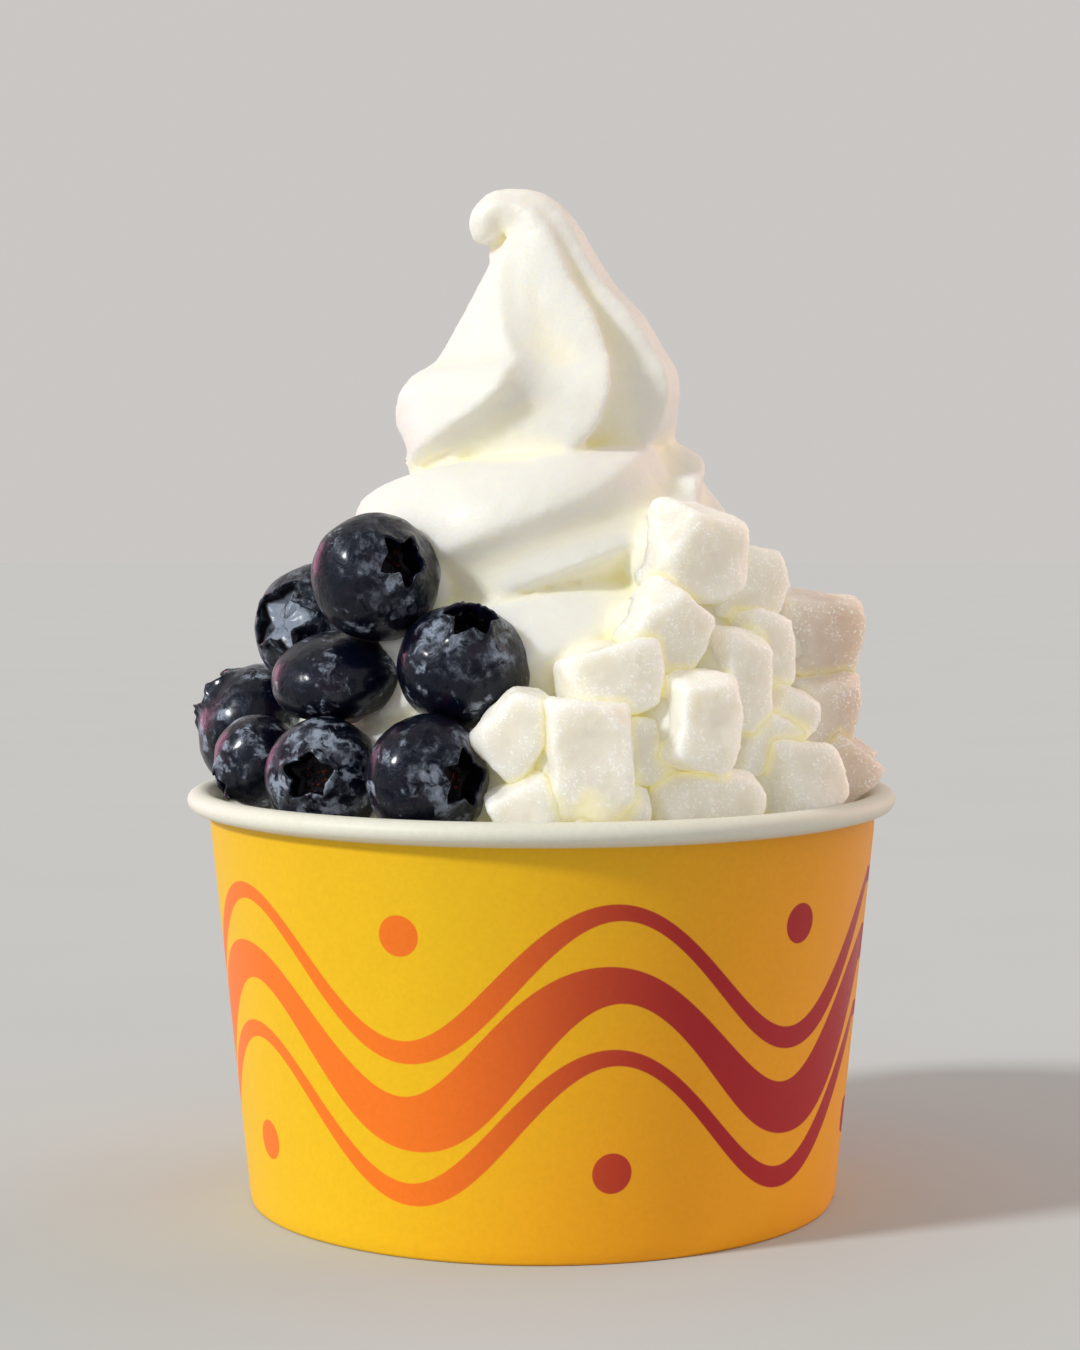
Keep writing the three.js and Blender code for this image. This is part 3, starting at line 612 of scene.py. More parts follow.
def mochi_finish(mochi):
    """Translucent rice dough with a powdery, faintly crystalline coat, painted sparkle, painted shade and a faint
    painted glow.
    """
    finish = Finish("mochi", Subsurface_Weight=0.9, Subsurface_Scale=1.0,
                    Subsurface_Radius=(0.0070, 0.0060, 0.0042), Specular_IOR_Level=0.25,
                    Coat_Roughness=0.12, Emission_Strength=0.19)
    near = finish.attribute("near")
    edge = finish.attribute("edge")
    grain = finish.noise(0.5, 4, 0.75)
    cloud = finish.noise(3.2, 3, 0.6, seed=3)
    frost_sparkle = finish.noise(0.42, 3, 0.8, distortion=0.15, seed=2)
    dusted = finish.ease(cloud + grain * 0.7 + edge * 1.2, 0.8, 1.2)
    tone = finish.blend(dusted, mochi.dough, mochi.powder)
    # painted shade: darker and rosier towards the right and the back, where the pieces lie in shade
    x, y, _ = finish.axes()
    right_shade_share = finish.ease(x + y * 0.5 + cloud * 12, 26, 44, 0, 0.6)
    tone = finish.blend(right_shade_share, tone, mochi.right_shade)
    # painted shade: where pieces lie against each other or face the yogurt, the dough is painted lemon cream
    between = finish.ease(near, 0.38, 1.0)
    tone = finish.blend(between * 0.65, tone, mochi.shadow)
    # crystal specks: real gloss in their coat, and painted white bright enough to stand for sparkle
    glint = finish.ease(frost_sparkle, 0.53, 0.64) * finish.ease(cloud + edge * 1.2, 0.42, 0.62)
    # painted glow: the dough gives off a faint light of its own, lemon cream where pieces meet, which lightens its
    # shade
    glow = finish.blend(between, scaled(mochi.dough, 0.9), mochi.shadow)
    return finish.surface(
        Base_Color=finish.blend(glint * 0.9, tone, mochi.crystal_sparkle),
        Roughness=finish.ease(grain, 0.3, 0.7, 0.24, 0.5) - glint * 0.12,
        Coat_Weight=glint * 0.35,
        Emission_Color=finish.blend(right_shade_share, glow, mochi.right_shade_glow),
        Normal=finish.bump(grain + frost_sparkle * 0.5 + cloud * 0.8, 0.07),
    )


def floor_finish(tone):
    """Matt floor, very slightly uneven in colour."""
    finish = Finish("floor", Specular_IOR_Level=0.0, Roughness=0.75)
    shade = finish.noise(60, 3, 0.5)
    return finish.surface(
        Base_Color=finish.blend(finish.ease(shade, 0.3, 0.7), scaled(tone, 0.985), tone))


# ---- modelling ----
def deselect():
    bpy.ops.object.select_all(action="DESELECT")


def pick(piece):
    """Makes one piece the only one selected, and active."""
    deselect()
    piece.select_set(True)
    bpy.context.view_layer.objects.active = piece


def added(operator, **settings):
    """Adds an object with an operator and gives it back."""
    deselect()
    operator(**settings)
    return bpy.context.object


@contextmanager
def editing(piece, first="SELECT"):
    """Edit mode on one piece. First all of it is selected or deselected, or nothing is changed."""
    pick(piece)
    bpy.ops.object.mode_set(mode="EDIT")
    if first:
        bpy.ops.mesh.select_all(action=first)
    yield
    bpy.ops.object.mode_set(mode="OBJECT")


def face_outwards():
    """In edit mode, turns all faces of the piece outwards."""
    bpy.ops.mesh.select_all(action="SELECT")
    bpy.ops.mesh.normals_make_consistent(inside=False)


def vertices(mesh, kind="co"):
    values = np.empty(len(mesh.vertices) * 3, dtype=np.float32)
    mesh.vertices.foreach_get(kind, values)
    return values.reshape(-1, 3).astype(float)


def move_vertices(piece, places):
    piece.data.vertices.foreach_set("co", np.asarray(places, dtype=np.float32).ravel())
    piece.data.update()


def set_attribute(piece, name, values):
    """Gives each vertex its value, or all of them the same one."""
    attribute = piece.data.attributes.new(name, "FLOAT", "POINT")
    values = np.full(len(piece.data.vertices), values, dtype=np.float32)
    attribute.data.foreach_set("value", values)


def finish_with(piece, kind, **settings):
    """Adds a modifier, sets it and applies it."""
    pick(piece)
    modifier = piece.modifiers.new(kind.lower(), kind)
    for setting, value in settings.items():
        setattr(modifier, setting, value)
    bpy.ops.object.modifier_apply(modifier=modifier.name)


def remesh(piece, grid):
    """Makes a piece one skin of even faces of that size."""
    finish_with(piece, "REMESH", mode="VOXEL", voxel_size=grid, adaptivity=0)


def soften(piece, passes):
    finish_with(piece, "SMOOTH", factor=0.5, iterations=passes)


def roughen(piece, texture, height):
    """Moves a piece's surface in and out by a texture, that many millimetres in all."""
    finish_with(piece, "DISPLACE", texture=texture, strength=height * MM,
                texture_coords="LOCAL", mid_level=0.5)


def clouds(name, size, depth=2):
    """A procedural cloud texture for roughening, with features of that size in millimetres."""
    texture = bpy.data.textures.new(name, "CLOUDS")
    texture.noise_scale = size * MM
    texture.noise_depth = depth
    return texture


def complete(piece, name, slot, material, nodes):
    """Names a piece, gives it its finish and ties it to the frame."""
    piece.name = name
    piece.data.name = name
    piece.data.materials.clear()
    piece.data.materials.append(material)
    pick(piece)
    bpy.ops.object.transform_apply(location=True, rotation=True, scale=True)
    bpy.ops.object.shade_smooth()
    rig.ride(piece, ROOT)
    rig.replaces(piece, *nodes)
    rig.slot(piece, slot)


def turned_piece(outline, sides):
    """Turns an outline of radius and height, in millimetres, about the upright axis: a ring is
    extruded and resized from one point to the next. It is closed at an end on the axis, and
    where the last point is the first."""
    points = [(radius * MM, height * MM) for radius, height in outline]
    capped = points[0][0] == 0
    if capped:
        points = points[1:]
    radius, height = points[0]
    piece = added(bpy.ops.mesh.primitive_circle_add, vertices=sides, radius=radius,
                  location=(0, 0, height), fill_type="TRIFAN" if capped else "NOTHING")
    with editing(piece):
        if capped:
            bpy.ops.mesh.region_to_loop()
        for next_radius, next_height in points[1:]:
            bpy.ops.mesh.extrude_edges_move(
                TRANSFORM_OT_translate={"value": (0, 0, next_height - height)})
            if next_radius == 0:
                bpy.ops.mesh.merge(type="CENTER")
                break
            ratio = next_radius / radius
            bpy.ops.transform.resize(value=(ratio, ratio, 1), center_override=(0, 0, next_height))
            radius, height = next_radius, next_height
        bpy.ops.mesh.select_all(action="SELECT")
        bpy.ops.mesh.remove_doubles(threshold=MERGE)
        face_outwards()
    pick(piece)
    bpy.ops.object.transform_apply(location=True, rotation=False, scale=False)
    return piece


def monotone(keys, values, at):
    """Smooth curve through key values that never overshoots them."""
    steps = np.diff(keys)
    slope = np.diff(values) / steps
    product = slope[:-1] * slope[1:]
    tangent = np.zeros(len(keys))
    tangent[0], tangent[-1] = slope[0], slope[-1]
    together = np.where(product > 0, slope[:-1] + slope[1:], 1)
    tangent[1:-1] = np.where(product > 0, 2 * product / together, 0)
    i = np.clip(np.searchsorted(keys, at) - 1, 0, len(steps) - 1)
    t = (at - keys[i]) / steps[i]
    rise = (2 * t - 3) * t * t
    bend = (t - 1) * t * steps[i] * ((t - 1) * tangent[i] + t * tangent[i + 1])
    return (1 + rise) * values[i] - rise * values[i + 1] + bend


def smooth(values, low, high):
    """Goes smoothly from 0 to 1 as the values go from low to high."""
    share = np.clip((values - low) / (high - low), 0, 1)
    return share * share * (3 - 2 * share)


def tube(rings):
    """A closed tube through rings of points, from a grid that is rolled up and capped."""
    rows, columns = rings.shape[:2]
    piece = added(bpy.ops.mesh.primitive_grid_add, x_subdivisions=columns,
                  y_subdivisions=rows - 1, size=1)
    flat = vertices(piece.data) + 0.5
    column = np.rint(flat[:, 0] * columns).astype(int) % columns
    row = np.rint(flat[:, 1] * (rows - 1)).astype(int)
    move_vertices(piece, rings[row, column] * MM)
    with editing(piece):
        bpy.ops.mesh.remove_doubles(threshold=MERGE)
        bpy.ops.mesh.fill_holes(sides=0)
        face_outwards()
    return piece


def joined(pieces):
    deselect()
    for piece in pieces:
        piece.select_set(True)
    bpy.context.view_layer.objects.active = pieces[0]
    bpy.ops.object.join()
    return bpy.context.object


def spread(mesh, values, passes):
    """Evens out values, one row for each vertex, with those of the vertices next to it."""
    count = len(mesh.vertices)
    ends = np.empty(len(mesh.edges) * 2, dtype=np.int32)
    mesh.edges.foreach_get("vertices", ends)
    a, b = ends.reshape(-1, 2).T
    near = np.bincount(a, minlength=count) + np.bincount(b, minlength=count)
    even = np.array(values, dtype=float)
    for _ in range(passes):
        for axis in range(even.shape[1]):
            column = even[:, axis]
            total = np.bincount(a, column[b], count) + np.bincount(b, column[a], count)
            even[:, axis] = (column + total) / (near + 1)
    return even


def hollows(piece, passes):
    """How far each vertex lies below an evened-out copy of the surface, in millimetres."""
    places = vertices(piece.data)
    normals = vertices(piece.data, "normal")
    even = spread(piece.data, places, passes)
    return ((even - places) * normals).sum(axis=1) / MM


# ---- cup ----
CUP_SIDES = 180
BASE_SIDES = 120
ROLL_START = math.radians(-128)
ROLL_STEPS = 22
HEM_HEIGHT = 6.2
CLEARANCE = 0.25  # between two layers of paper
# the seam's lap: its bearing, width, the length in which it eases back into the wall, its step,
# and the height where it ends and how softly
SEAM_BEARING = math.radians(83)
SEAM_WIDTH = 5.5
SEAM_EASE = 7
SEAM_STEP = 0.28
SEAM_TOP = 54.5
SEAM_FADE = 3
# how far from round the wall is at its top: size, waves round the cup, phase
WALL_WAVES = ((0.10, 3, 1.0), (0.06, 7, 2.0))


def wall_outline(cup):
    """Outline of the wall with its rolled rim and folded hem, and the radius of its outside."""
    foot, paper = cup.foot_radius / MM, cup.paper / MM
    width, depth = cup.roll_width / MM, cup.roll_height / MM
    top = cup.height / MM
    body = cup.rim_radius / MM - width + paper
    body_height = top - depth

    def outside(height):
        return foot + (body - foot) * height / body_height

    outline = [(outside(0) - 0.45, 0.0), (outside(0.1) - 0.13, 0.08), (outside(0.45), 0.45)]
    outline += [(outside(h), h) for h in np.linspace(2, body_height - 0.4, 22)]
    outline.append((outside(body_height - 0.4) + 0.02, body_height + 0.1))
    middle = cup.rim_radius / MM - width / 2
    for angle in np.linspace(ROLL_START, math.pi, ROLL_STEPS):
        outline.append((middle + width / 2 * math.cos(angle),
                        top - depth / 2 + depth / 2 * math.sin(angle)))
    slot = 2 * CLEARANCE + paper
    outline += [(outside(h) - paper, h) for h in np.linspace(body_height - 1, HEM_HEIGHT, 10)]
    outline += [
        (outside(paper) - paper, paper),
        (outside(paper) - paper - slot, paper),
        (outside(HEM_HEIGHT) - paper - slot, HEM_HEIGHT),
        (outside(HEM_HEIGHT) - 2 * paper - slot, HEM_HEIGHT),
        (outside(0.3) - 2 * paper - slot, 0.3),
        (outside(0) - 2 * paper - slot + 0.2, 0.0),
        outline[0],
    ]
    return outline, outside


class YOGURTCUP_OT_wall(Operator):
    """Model the cup's wall: tapered paper with a rolled rim, a lapped seam and a folded hem"""
    bl_idname = "yogurtcup.wall"
    bl_label = "Cup wall"
    bl_options = {"REGISTER", "UNDO"}

    def execute(self, context):
        cup = context.scene.cup_of_yogurt.cup
        outline, outside = wall_outline(cup)
        wall = turned_piece(outline, CUP_SIDES)
        places = vertices(wall.data) / MM
        bearing = np.arctan2(places[:, 0], -places[:, 1])
        reach = np.hypot(places[:, 0], places[:, 1])
        along = (bearing - SEAM_BEARING) * reach
        # the lap: a step at its edge, easing back into the wall
        lap = np.clip(1 - (along - SEAM_WIDTH) / SEAM_EASE, 0, 1) * (along >= 0)
        # the inside of the paper stays where it is
        outer = np.clip((reach - outside(places[:, 2]) + 0.3) / 0.2, 0, 1)
        low = np.clip((SEAM_TOP - places[:, 2]) / SEAM_FADE, 0, 1)
        wave = sum(size * np.sin(waves * bearing + phase) for size, waves, phase in WALL_WAVES)
        up = np.clip(places[:, 2] / (cup.height / MM), 0, 1)
        grow = SEAM_STEP * lap * outer * low - np.abs(wave) * up
        places[:, :2] *= ((reach + grow) / reach)[:, None]
        move_vertices(wall, places * MM)
        complete(wall, "paper_wall", "printed_paper", printed_paper(cup), ["cup_wall"])
        return {"FINISHED"}


class YOGURTCUP_OT_base(Operator):
    """Model the cup's base: a pressed disc with a skirt inside the hem"""
    bl_idname = "yogurtcup.base"
    bl_label = "Cup base"
    bl_options = {"REGISTER", "UNDO"}

    def execute(self, context):
        cup = context.scene.cup_of_yogurt.cup
        outside = wall_outline(cup)[1]
        paper = cup.paper / MM
        under = HEM_HEIGHT + 2 * CLEARANCE
        skirt = paper + CLEARANCE

        def edge(height):
            return outside(height) - paper - CLEARANCE

        base = turned_piece([
            (0, under),
            (14, under),
            (edge(under) - paper - 3.4, under),
            (edge(under) - paper - 0.3, under),
            (edge(under) - paper, under - 0.3),
            (edge(skirt) - paper, skirt),
            (edge(skirt), skirt),
            (edge(under + paper - 0.4), under + paper - 0.4),
            (edge(under + paper) - 0.4, under + paper),
            (20, under + paper),
            (0, under + paper),
        ], BASE_SIDES)
        complete(base, "paper_base", "base_paper", plain_paper(cup), ["cup_base"])
        return {"FINISHED"}


# ---- frozen yogurt ----
CORE_SIDES = 160


def wrapped(degrees):
    """The same angles between -180 and 180 degrees."""
    return (degrees + 180) % 360 - 180


def flutes(ridges, grooves, per_flute, skew=1.0):
    """Angles round rings and radii there. ridges holds a row of angles for each ring. With a
    skew below 1 the grooves fall steeply after a ridge and rise gently to the next."""
    following = np.concatenate([ridges[:, 1:], ridges[:, :1] + 360], axis=1)
    share = np.arange(per_flute) / per_flute
    angles = ridges[:, :, None] * (1 - share) + following[:, :, None] * share
    depth = np.sin(np.pi * share ** skew) ** GROOVE_SHARPNESS
    radii = 1 - grooves[:, :, None] * depth
    rows = len(ridges)
    return np.radians(angles.reshape(rows, -1)), radii.reshape(rows, -1)


def coil_rings(step=1 / 96, per_flute=12):
    """Rings of points along the coiled rope."""
    turns = np.arange(COIL[0, 0], COIL[-1, 0] + 1e-6, step)
    reach, height, radius = (monotone(COIL[:, 0], COIL[:, k], turns) for k in (1, 2, 3))
    ridges = COIL_CREST + COIL_TWIST * turns[:, None] + np.arange(FLUTES) * 360 / FLUTES
    # grooves are pressed flat where the next turn lies on them
    middle = wrapped(ridges + 180 / FLUTES)
    grooves = COIL_GROOVE * (1 - PRESSED_FLAT * smooth(middle, 12, 38) * smooth(middle, 140, 110))
    # one broad flank faces the front, without the first groove
    grooves[:, 0] *= 1 - PRESSED_FLAT * smooth(np.abs(turns), 0.45, 0.3)
    # at the right they open into a pocket, and the ridge before it ends in a lip
    pocket = smooth(turns, 0.07, 0.15) * smooth(turns, 0.34, 0.24)
    grooves += (POCKET_DEPTH * pocket)[:, None] * smooth(np.abs(middle - POCKET_BEARING), 40, 10)
    lip = (np.abs(wrapped(ridges) - LIP_BEARING) < 30) & (turns < 0.3)[:, None]
    ridges += LIP_TURN * lip * (smooth(turns, 0.03, 0.12) * smooth(turns, 0.3, 0.2))[:, None]
    angles, radii = flutes(ridges, grooves, per_flute)
    out = np.stack([np.sin(TURN * turns), -np.cos(TURN * turns), 0 * turns], axis=1)
    radii = radii * radius[:, None]
    rings = out[:, None, :] * (reach[:, None] + radii * np.cos(angles))[:, :, None]
    rings[:, :, 2] = height[:, None] + radii * np.sin(angles)
    return rings


def top_rings(count=150, per_flute=16):
    """Rings of points up the top and along its curled tip."""
    lengths = np.concatenate([[0], np.cumsum(np.hypot(*np.diff(TOP[:, :2], axis=0).T))])
    whole = lengths[-1]
    along = np.linspace(0, whole, count)
    x, z, radius = (monotone(lengths, TOP[:, k], along) for k in (0, 1, 2))
    heading = np.stack([np.gradient(x, along), 0 * x, np.gradient(z, along)], axis=1)
    heading /= np.linalg.norm(heading, axis=1)[:, None]
    turning = np.clip((along - CURL_FROM) / CURL_OVER, 0, 1)[:, None]
    axis = np.array([0, 0, 1]) * (1 - turning) + heading * turning
    axis /= np.linalg.norm(axis, axis=1)[:, None]
    front = np.array([0.0, -1.0, 0.0])
    side = np.cross(axis, front)
    # past the highest key the ridges keep their bearings
    level = np.clip(np.maximum.accumulate(z), RIDGE_HEIGHTS[0], RIDGE_HEIGHTS[-1])
    ridges = np.stack([monotone(RIDGE_HEIGHTS, path, level) for path in RIDGES], axis=1)
    fade = 1 + (TIP_GROOVES - 1) * np.clip(2 * along / whole - 1, 0, 1)
    angles, radii = flutes(ridges, GROOVES * fade[:, None], per_flute, GROOVE_SKEW)
    for bearing, turn, low, high, width, rise in FOLDS:
        off = wrapped(np.degrees(angles) - (bearing + turn * (z - low))[:, None])
        share = np.sin(math.pi * np.clip((z - low) / (high - low), 0, 1))[:, None]
        steepness = np.where(off > 0, FOLD_STEEPNESS, 1)
        radii = radii + rise * share * np.exp(-steepness * (off / width) ** 2)
    radii = radii * radius[:, None]
    middle = np.stack([x, 0 * x, z], axis=1)
    return (middle[:, None, :] + front * (radii * np.cos(angles))[:, :, None]
            + side[:, None, :] * (radii * np.sin(angles))[:, :, None])


def mound(middle, size):
    """A ball of yogurt, to be joined to the rest."""
    ball = added(bpy.ops.mesh.primitive_ico_sphere_add, subdivisions=3, radius=size * MM,
                 location=Vector(middle) * MM)
    bpy.ops.object.transform_apply(location=True)
    return ball


def bed():
    """Mounds of yogurt for the toppings to sit in, a little behind each."""
    places = [(at, radius, BERRY_BED) for at, radius, *_ in BLUEBERRIES]
    places += [(at, sum(half) / 3, MOCHI_BED) for at, half, *_ in MOCHI]
    mounds = []
    for at, size, (share, behind) in places:
        middle = Vector(at)
        inward = Vector((-middle.x, -middle.y, 0)).normalized()
        place = middle + inward * size * behind - Vector((0, 0, BED_DROP))
        mounds.append(mound(place, size * share))
    return mounds


def beneath(places):
    """How near each place lies to a mochi's middle, 1 there and 0 well outside the piece."""
    nearest = np.full(len(places), np.inf)
    for at, half, *_ in MOCHI:
        far = np.linalg.norm(places - np.array(at), axis=1) / (sum(half) / 3)
        nearest = np.minimum(nearest, far)
    return 1 - smooth(nearest, 0.9, 1.4)


class YOGURTCUP_OT_yogurt(Operator):
    """Model the frozen yogurt: the fill, the coiled ridged rope and the curled top in one"""
    bl_idname = "yogurtcup.yogurt"
    bl_label = "Frozen yogurt"
    bl_options = {"REGISTER", "UNDO"}

    def execute(self, context):
        settings = context.scene.cup_of_yogurt
        outside = wall_outline(settings.cup)[1]
        paper = settings.cup.paper / MM
        bottom = HEM_HEIGHT + 2 * CLEARANCE + paper + GAP

        def edge(height):
            return outside(height) - paper - GAP

        core = turned_piece([
            (0, FILL_CUT - 4), (edge(FILL_CUT - 4), FILL_CUT - 4), (edge(FILL_EDGE), FILL_EDGE),
            (30, FILL_EDGE + 1.6), (CORE_RADIUS, FILL_MIDDLE),
            (CORE_RADIUS * 0.8, TOP_FOOT), (0, TOP_FOOT),
        ], CORE_SIDES)
        body = joined([tube(coil_rings()), tube(top_rings()), core, mound(*TIP_FOLD), *bed()])
        remesh(body, settings.yogurt.grid)
        soften(body, 3)
        roughen(body, clouds("swell", 9), 0.5)
        # only the outer skin is kept
        highest = int(vertices(body.data)[:, 2].argmax())
        with editing(body, "DESELECT"):
            bpy.ops.mesh.select_mode(type="VERT")
        body.data.vertices[highest].select = True
        with editing(body, None):
            bpy.ops.mesh.select_linked()
            bpy.ops.mesh.select_all(action="INVERT")
            bpy.ops.mesh.delete(type="VERT")
            # the hidden part in the cup: cut off level, then drawn down along the wall
            bpy.ops.mesh.select_all(action="SELECT")
            bpy.ops.mesh.bisect(plane_co=(0, 0, FILL_CUT * MM), plane_no=(0, 0, 1),
                                clear_inner=True)
            bpy.ops.mesh.select_all(action="DESELECT")
            bpy.ops.mesh.select_non_manifold()
            bpy.ops.mesh.extrude_edges_move(
                TRANSFORM_OT_translate={"value": (0, 0, (bottom - FILL_CUT) * MM)})
            ratio = edge(bottom) / edge(FILL_CUT)
            bpy.ops.transform.resize(value=(ratio, ratio, 1), center_override=(0, 0, bottom * MM))
            bpy.ops.mesh.edge_face_add()
            face_outwards()
        hollow = np.minimum(hollows(body, HOLLOW_PASSES), DEEPEST_HOLLOW)
        roughen(body, clouds("pucker", 1.6, 3), 0.16)
        # yogurt between mochi counts as deeper, so that it takes the painted shade too
        shade = UNDER_MOCHI * beneath(vertices(body.data) / MM)
        set_attribute(body, "hollow", hollow + shade)
        complete(body, "yogurt_swirl", "frozen_yogurt", yogurt_finish(settings.yogurt),
                 ["frozen_yogurt"])
        return {"FINISHED"}


# ---- blueberries ----
CROWN_RINGS = 34
BODY_RINGS = 34
CROWN_EDGE = math.radians(50)
SEPALS = 5
BERRY_SEED = 39


def berry_form(berry, seed, sepal_rise, pit, pad):
    """Places of a sphere's vertices for a berry of radius 1 with its crown up, and for each
    vertex how far out from the pit's middle it lies, 1 at the crown's edge and more beyond."""
    rings = CROWN_RINGS + BODY_RINGS
    random_source = random.Random(seed)
    polar = np.arccos(np.clip(berry[:, 2], -1, 1))
    ring = np.rint(polar / math.pi * rings).astype(int)
    around = np.arctan2(berry[:, 1], berry[:, 0])
    # the star-shaped edge of the pit, a little different on each berry
    tilt = random_source.uniform(0, TURN)

    def ripple(waves, share):
        """That many waves round the crown, with a random size and phase."""
        return random_source.uniform(-1, 1) / share * np.cos(
            waves * around + random_source.uniform(0, 6))

    uneven = sum(ripple(k, k) for k in range(2, 5))
    jag = sum(ripple(k, 5) for k in range(7, 22, 2))
    lengths = np.array([random_source.uniform(0.5, 1.25) for _ in range(SEPALS)])
    sector = (around + tilt + 0.2 * uneven) / TURN * SEPALS % SEPALS
    point = (1 - np.abs(2 * (sector % 1) - 1)) ** 1.4 * lengths[sector.astype(int) % SEPALS]
    edge = pit * (0.25 + 0.16 * point + 0.045 * uneven + 0.022 * jag)
    rise = 0.02 + sepal_rise * (1 - 0.8 * point) * (1 + 0.4 * uneven + 0.3 * jag) + 0.012 * jag
    level = np.sqrt(1 - edge ** 2) + rise
    floor = 0.52 + 0.24 * pad + 0.03 * uneven
    share = np.clip(ring / CROWN_RINGS, 0, 1)
    keys = np.array([0, 0.3, 0.44, 0.5, 0.7, 0.76, 0.82, 0.9, 1])
    out = [0 * edge, 0.6 * edge, 0.88 * edge, 0.95 * edge, 0.95 * edge, edge,
           edge + 0.035, edge + 0.1, 0 * edge + math.sin(CROWN_EDGE)]
    up = [floor + 0.05, floor, floor + 0.02, floor + 0.08, level - 0.04, level,
          level - 0.004, np.sqrt(1 - (edge + 0.1) ** 2) + 0.012, 0 * edge + math.cos(CROWN_EDGE)]
    step = np.clip(np.searchsorted(keys, share, side="right") - 1, 0, len(keys) - 2)
    t = (share - keys[step]) / (keys[step + 1] - keys[step])
    out, up = np.array(out), np.array(up)
    index = np.arange(len(berry))
    reach = out[step, index] * (1 - t) + out[step + 1, index] * t
    height = up[step, index] * (1 - t) + up[step + 1, index] * t
    beyond = np.clip((ring - CROWN_RINGS) / BODY_RINGS, 0, 1)
    angle = CROWN_EDGE + (math.pi - CROWN_EDGE) * beyond
    body = ring >= CROWN_RINGS
    reach = np.where(body, np.sin(angle), reach)
    height = np.where(body, np.cos(angle), height)
    # soft lobes below the sepals, and a slightly lopsided fruit
    lobe = 0.012 * np.cos(SEPALS * around + tilt) * np.sin(np.clip(angle, 0, math.pi)) ** 2
    reach = reach * (1 + lobe * body + 0.012 * uneven * np.sin(polar))
    places = np.stack([reach * np.cos(around), reach * np.sin(around), height], axis=1)
    return places, share + beyond * 2


class YOGURTCUP_OT_blueberries(Operator):
    """Model the blueberries, each with a crown of sepals round a pit"""
    bl_idname = "yogurtcup.blueberries"
    bl_label = "Blueberries"
    bl_options = {"REGISTER", "UNDO"}

    def execute(self, context):
        settings = context.scene.cup_of_yogurt.berry
        material = berry_finish(settings)
        dimples = clouds("dimples", 3.2)
        for number, row in enumerate(BLUEBERRIES, start=1):
            at, radius, flat, crown, sepal_rise, pit, pad, ring = row
            berry = added(bpy.ops.mesh.primitive_uv_sphere_add, segments=settings.segments,
                          ring_count=CROWN_RINGS + BODY_RINGS, radius=1)
            places, crown_share = berry_form(
                vertices(berry.data), BERRY_SEED + number, sepal_rise, pit, pad)
            turn = Vector((0, 0, 1)).rotation_difference(Vector(crown).normalized())
            form = Matrix.LocRotScale(Vector(at) * MM, turn, Vector((1, 1, flat)) * radius * MM)
            grid = np.c_[places, np.ones(len(places))] @ np.array(form).T
            move_vertices(berry, grid[:, :3])
            soften(berry, 1)
            roughen(berry, dimples, 0.35)
            set_attribute(berry, "crown", crown_share)
            set_attribute(berry, "pad", pad)
            set_attribute(berry, "ring", ring)
            complete(berry, f"berry_{number}", "blueberry", material, [f"blueberry_{number}"])
        return {"FINISHED"}


# ---- mochi ----
MOCHI_SEED = 5
# how far its faces tilt, how far out its faces and its cut corners lie, as shares of its half
# size, and how much nearer the corners of a round one lie
FACE_TILT = 0.26
FACE_REACH = (0.86, 0.97)
CORNER_REACH = (0.74, 0.92)
CORNER_ROUNDING = 0.17
SWELLING = 0.15  # all round, to make up for what the smoothing takes
EDGE_PASSES = 14  # the more, the wider its edges
# how near a piece shades another, how evenly, and how much the side towards the yogurt counts
NEAR_REACH = 2.2
NEAR_PASSES = 6
INNER_SHADE = 0.8


def cut_block(at, half, lean, turn, rounding, random_source):
    """A block as cut by hand: no face is square to the next and the corners are knocked off."""
    block = added(bpy.ops.mesh.primitive_cube_add, size=2)
    cuts = []
    for axis in range(3):
        for end in (-1, 1):
            face = Vector([random_source.uniform(-FACE_TILT, FACE_TILT) for _ in range(3)])
            face[axis] = end
            cuts.append((face.normalized(), random_source.uniform(*FACE_REACH)))
    for corner in range(8):
        out = Vector([(1 if corner >> axis & 1 else -1) * random_source.uniform(0.4, 1)
                      for axis in range(3)]).normalized()
        reach = random_source.uniform(*CORNER_REACH) - CORNER_ROUNDING * rounding
        cuts.append((out, sum(abs(k) for k in out) * reach))
    with editing(block):
        for out, reach in cuts:
            bpy.ops.mesh.select_all(action="SELECT")
            bpy.ops.mesh.bisect(plane_co=out * reach, plane_no=out, use_fill=True,
                                clear_outer=True)
    turned = (Matrix.Rotation(math.radians(-lean), 3, "Y")
              @ Matrix.Rotation(math.radians(turn), 3, "Z"))
    move_vertices(block, ((vertices(block.data) * half) @ np.array(turned).T + at) * MM)
    return block


class YOGURTCUP_OT_mochi(Operator):
    """Model the mochi: soft blocks of dough, pressed against each other, with a powdery coat"""
    bl_idname = "yogurtcup.mochi"
    bl_label = "Mochi"
    bl_options = {"REGISTER", "UNDO"}

    def execute(self, context):
        settings = context.scene.cup_of_yogurt.mochi
        material = mochi_finish(settings)
        lumps = clouds("lumps", 4.8, 1)
        chips = clouds("chips", 0.9)
        pieces = []
        random_source = random.Random(MOCHI_SEED)
        for place in MOCHI:
            piece = cut_block(*place, random_source)
            remesh(piece, settings.grid)
            # the rounder the piece, the longer it is smoothed
            soften(piece, 3 + round(40 * place[-1]))
            finish_with(piece, "DISPLACE", strength=SWELLING * MM, mid_level=0)
            roughen(piece, lumps, 1.0)
            roughen(piece, chips, 0.36)
            soften(piece, 1)
            set_attribute(piece, "edge", -hollows(piece, EDGE_PASSES))
            pieces.append(piece)
        near = nearness(pieces, NEAR_REACH * MM)
        for number, (piece, values, place) in enumerate(zip(pieces, near, MOCHI), start=1):
            set_attribute(piece, "near", np.maximum(values, turned_in(piece, place)))
            complete(piece, f"mochi_block_{number}", "mochi", material, [f"mochi_{number}"])
        return {"FINISHED"}


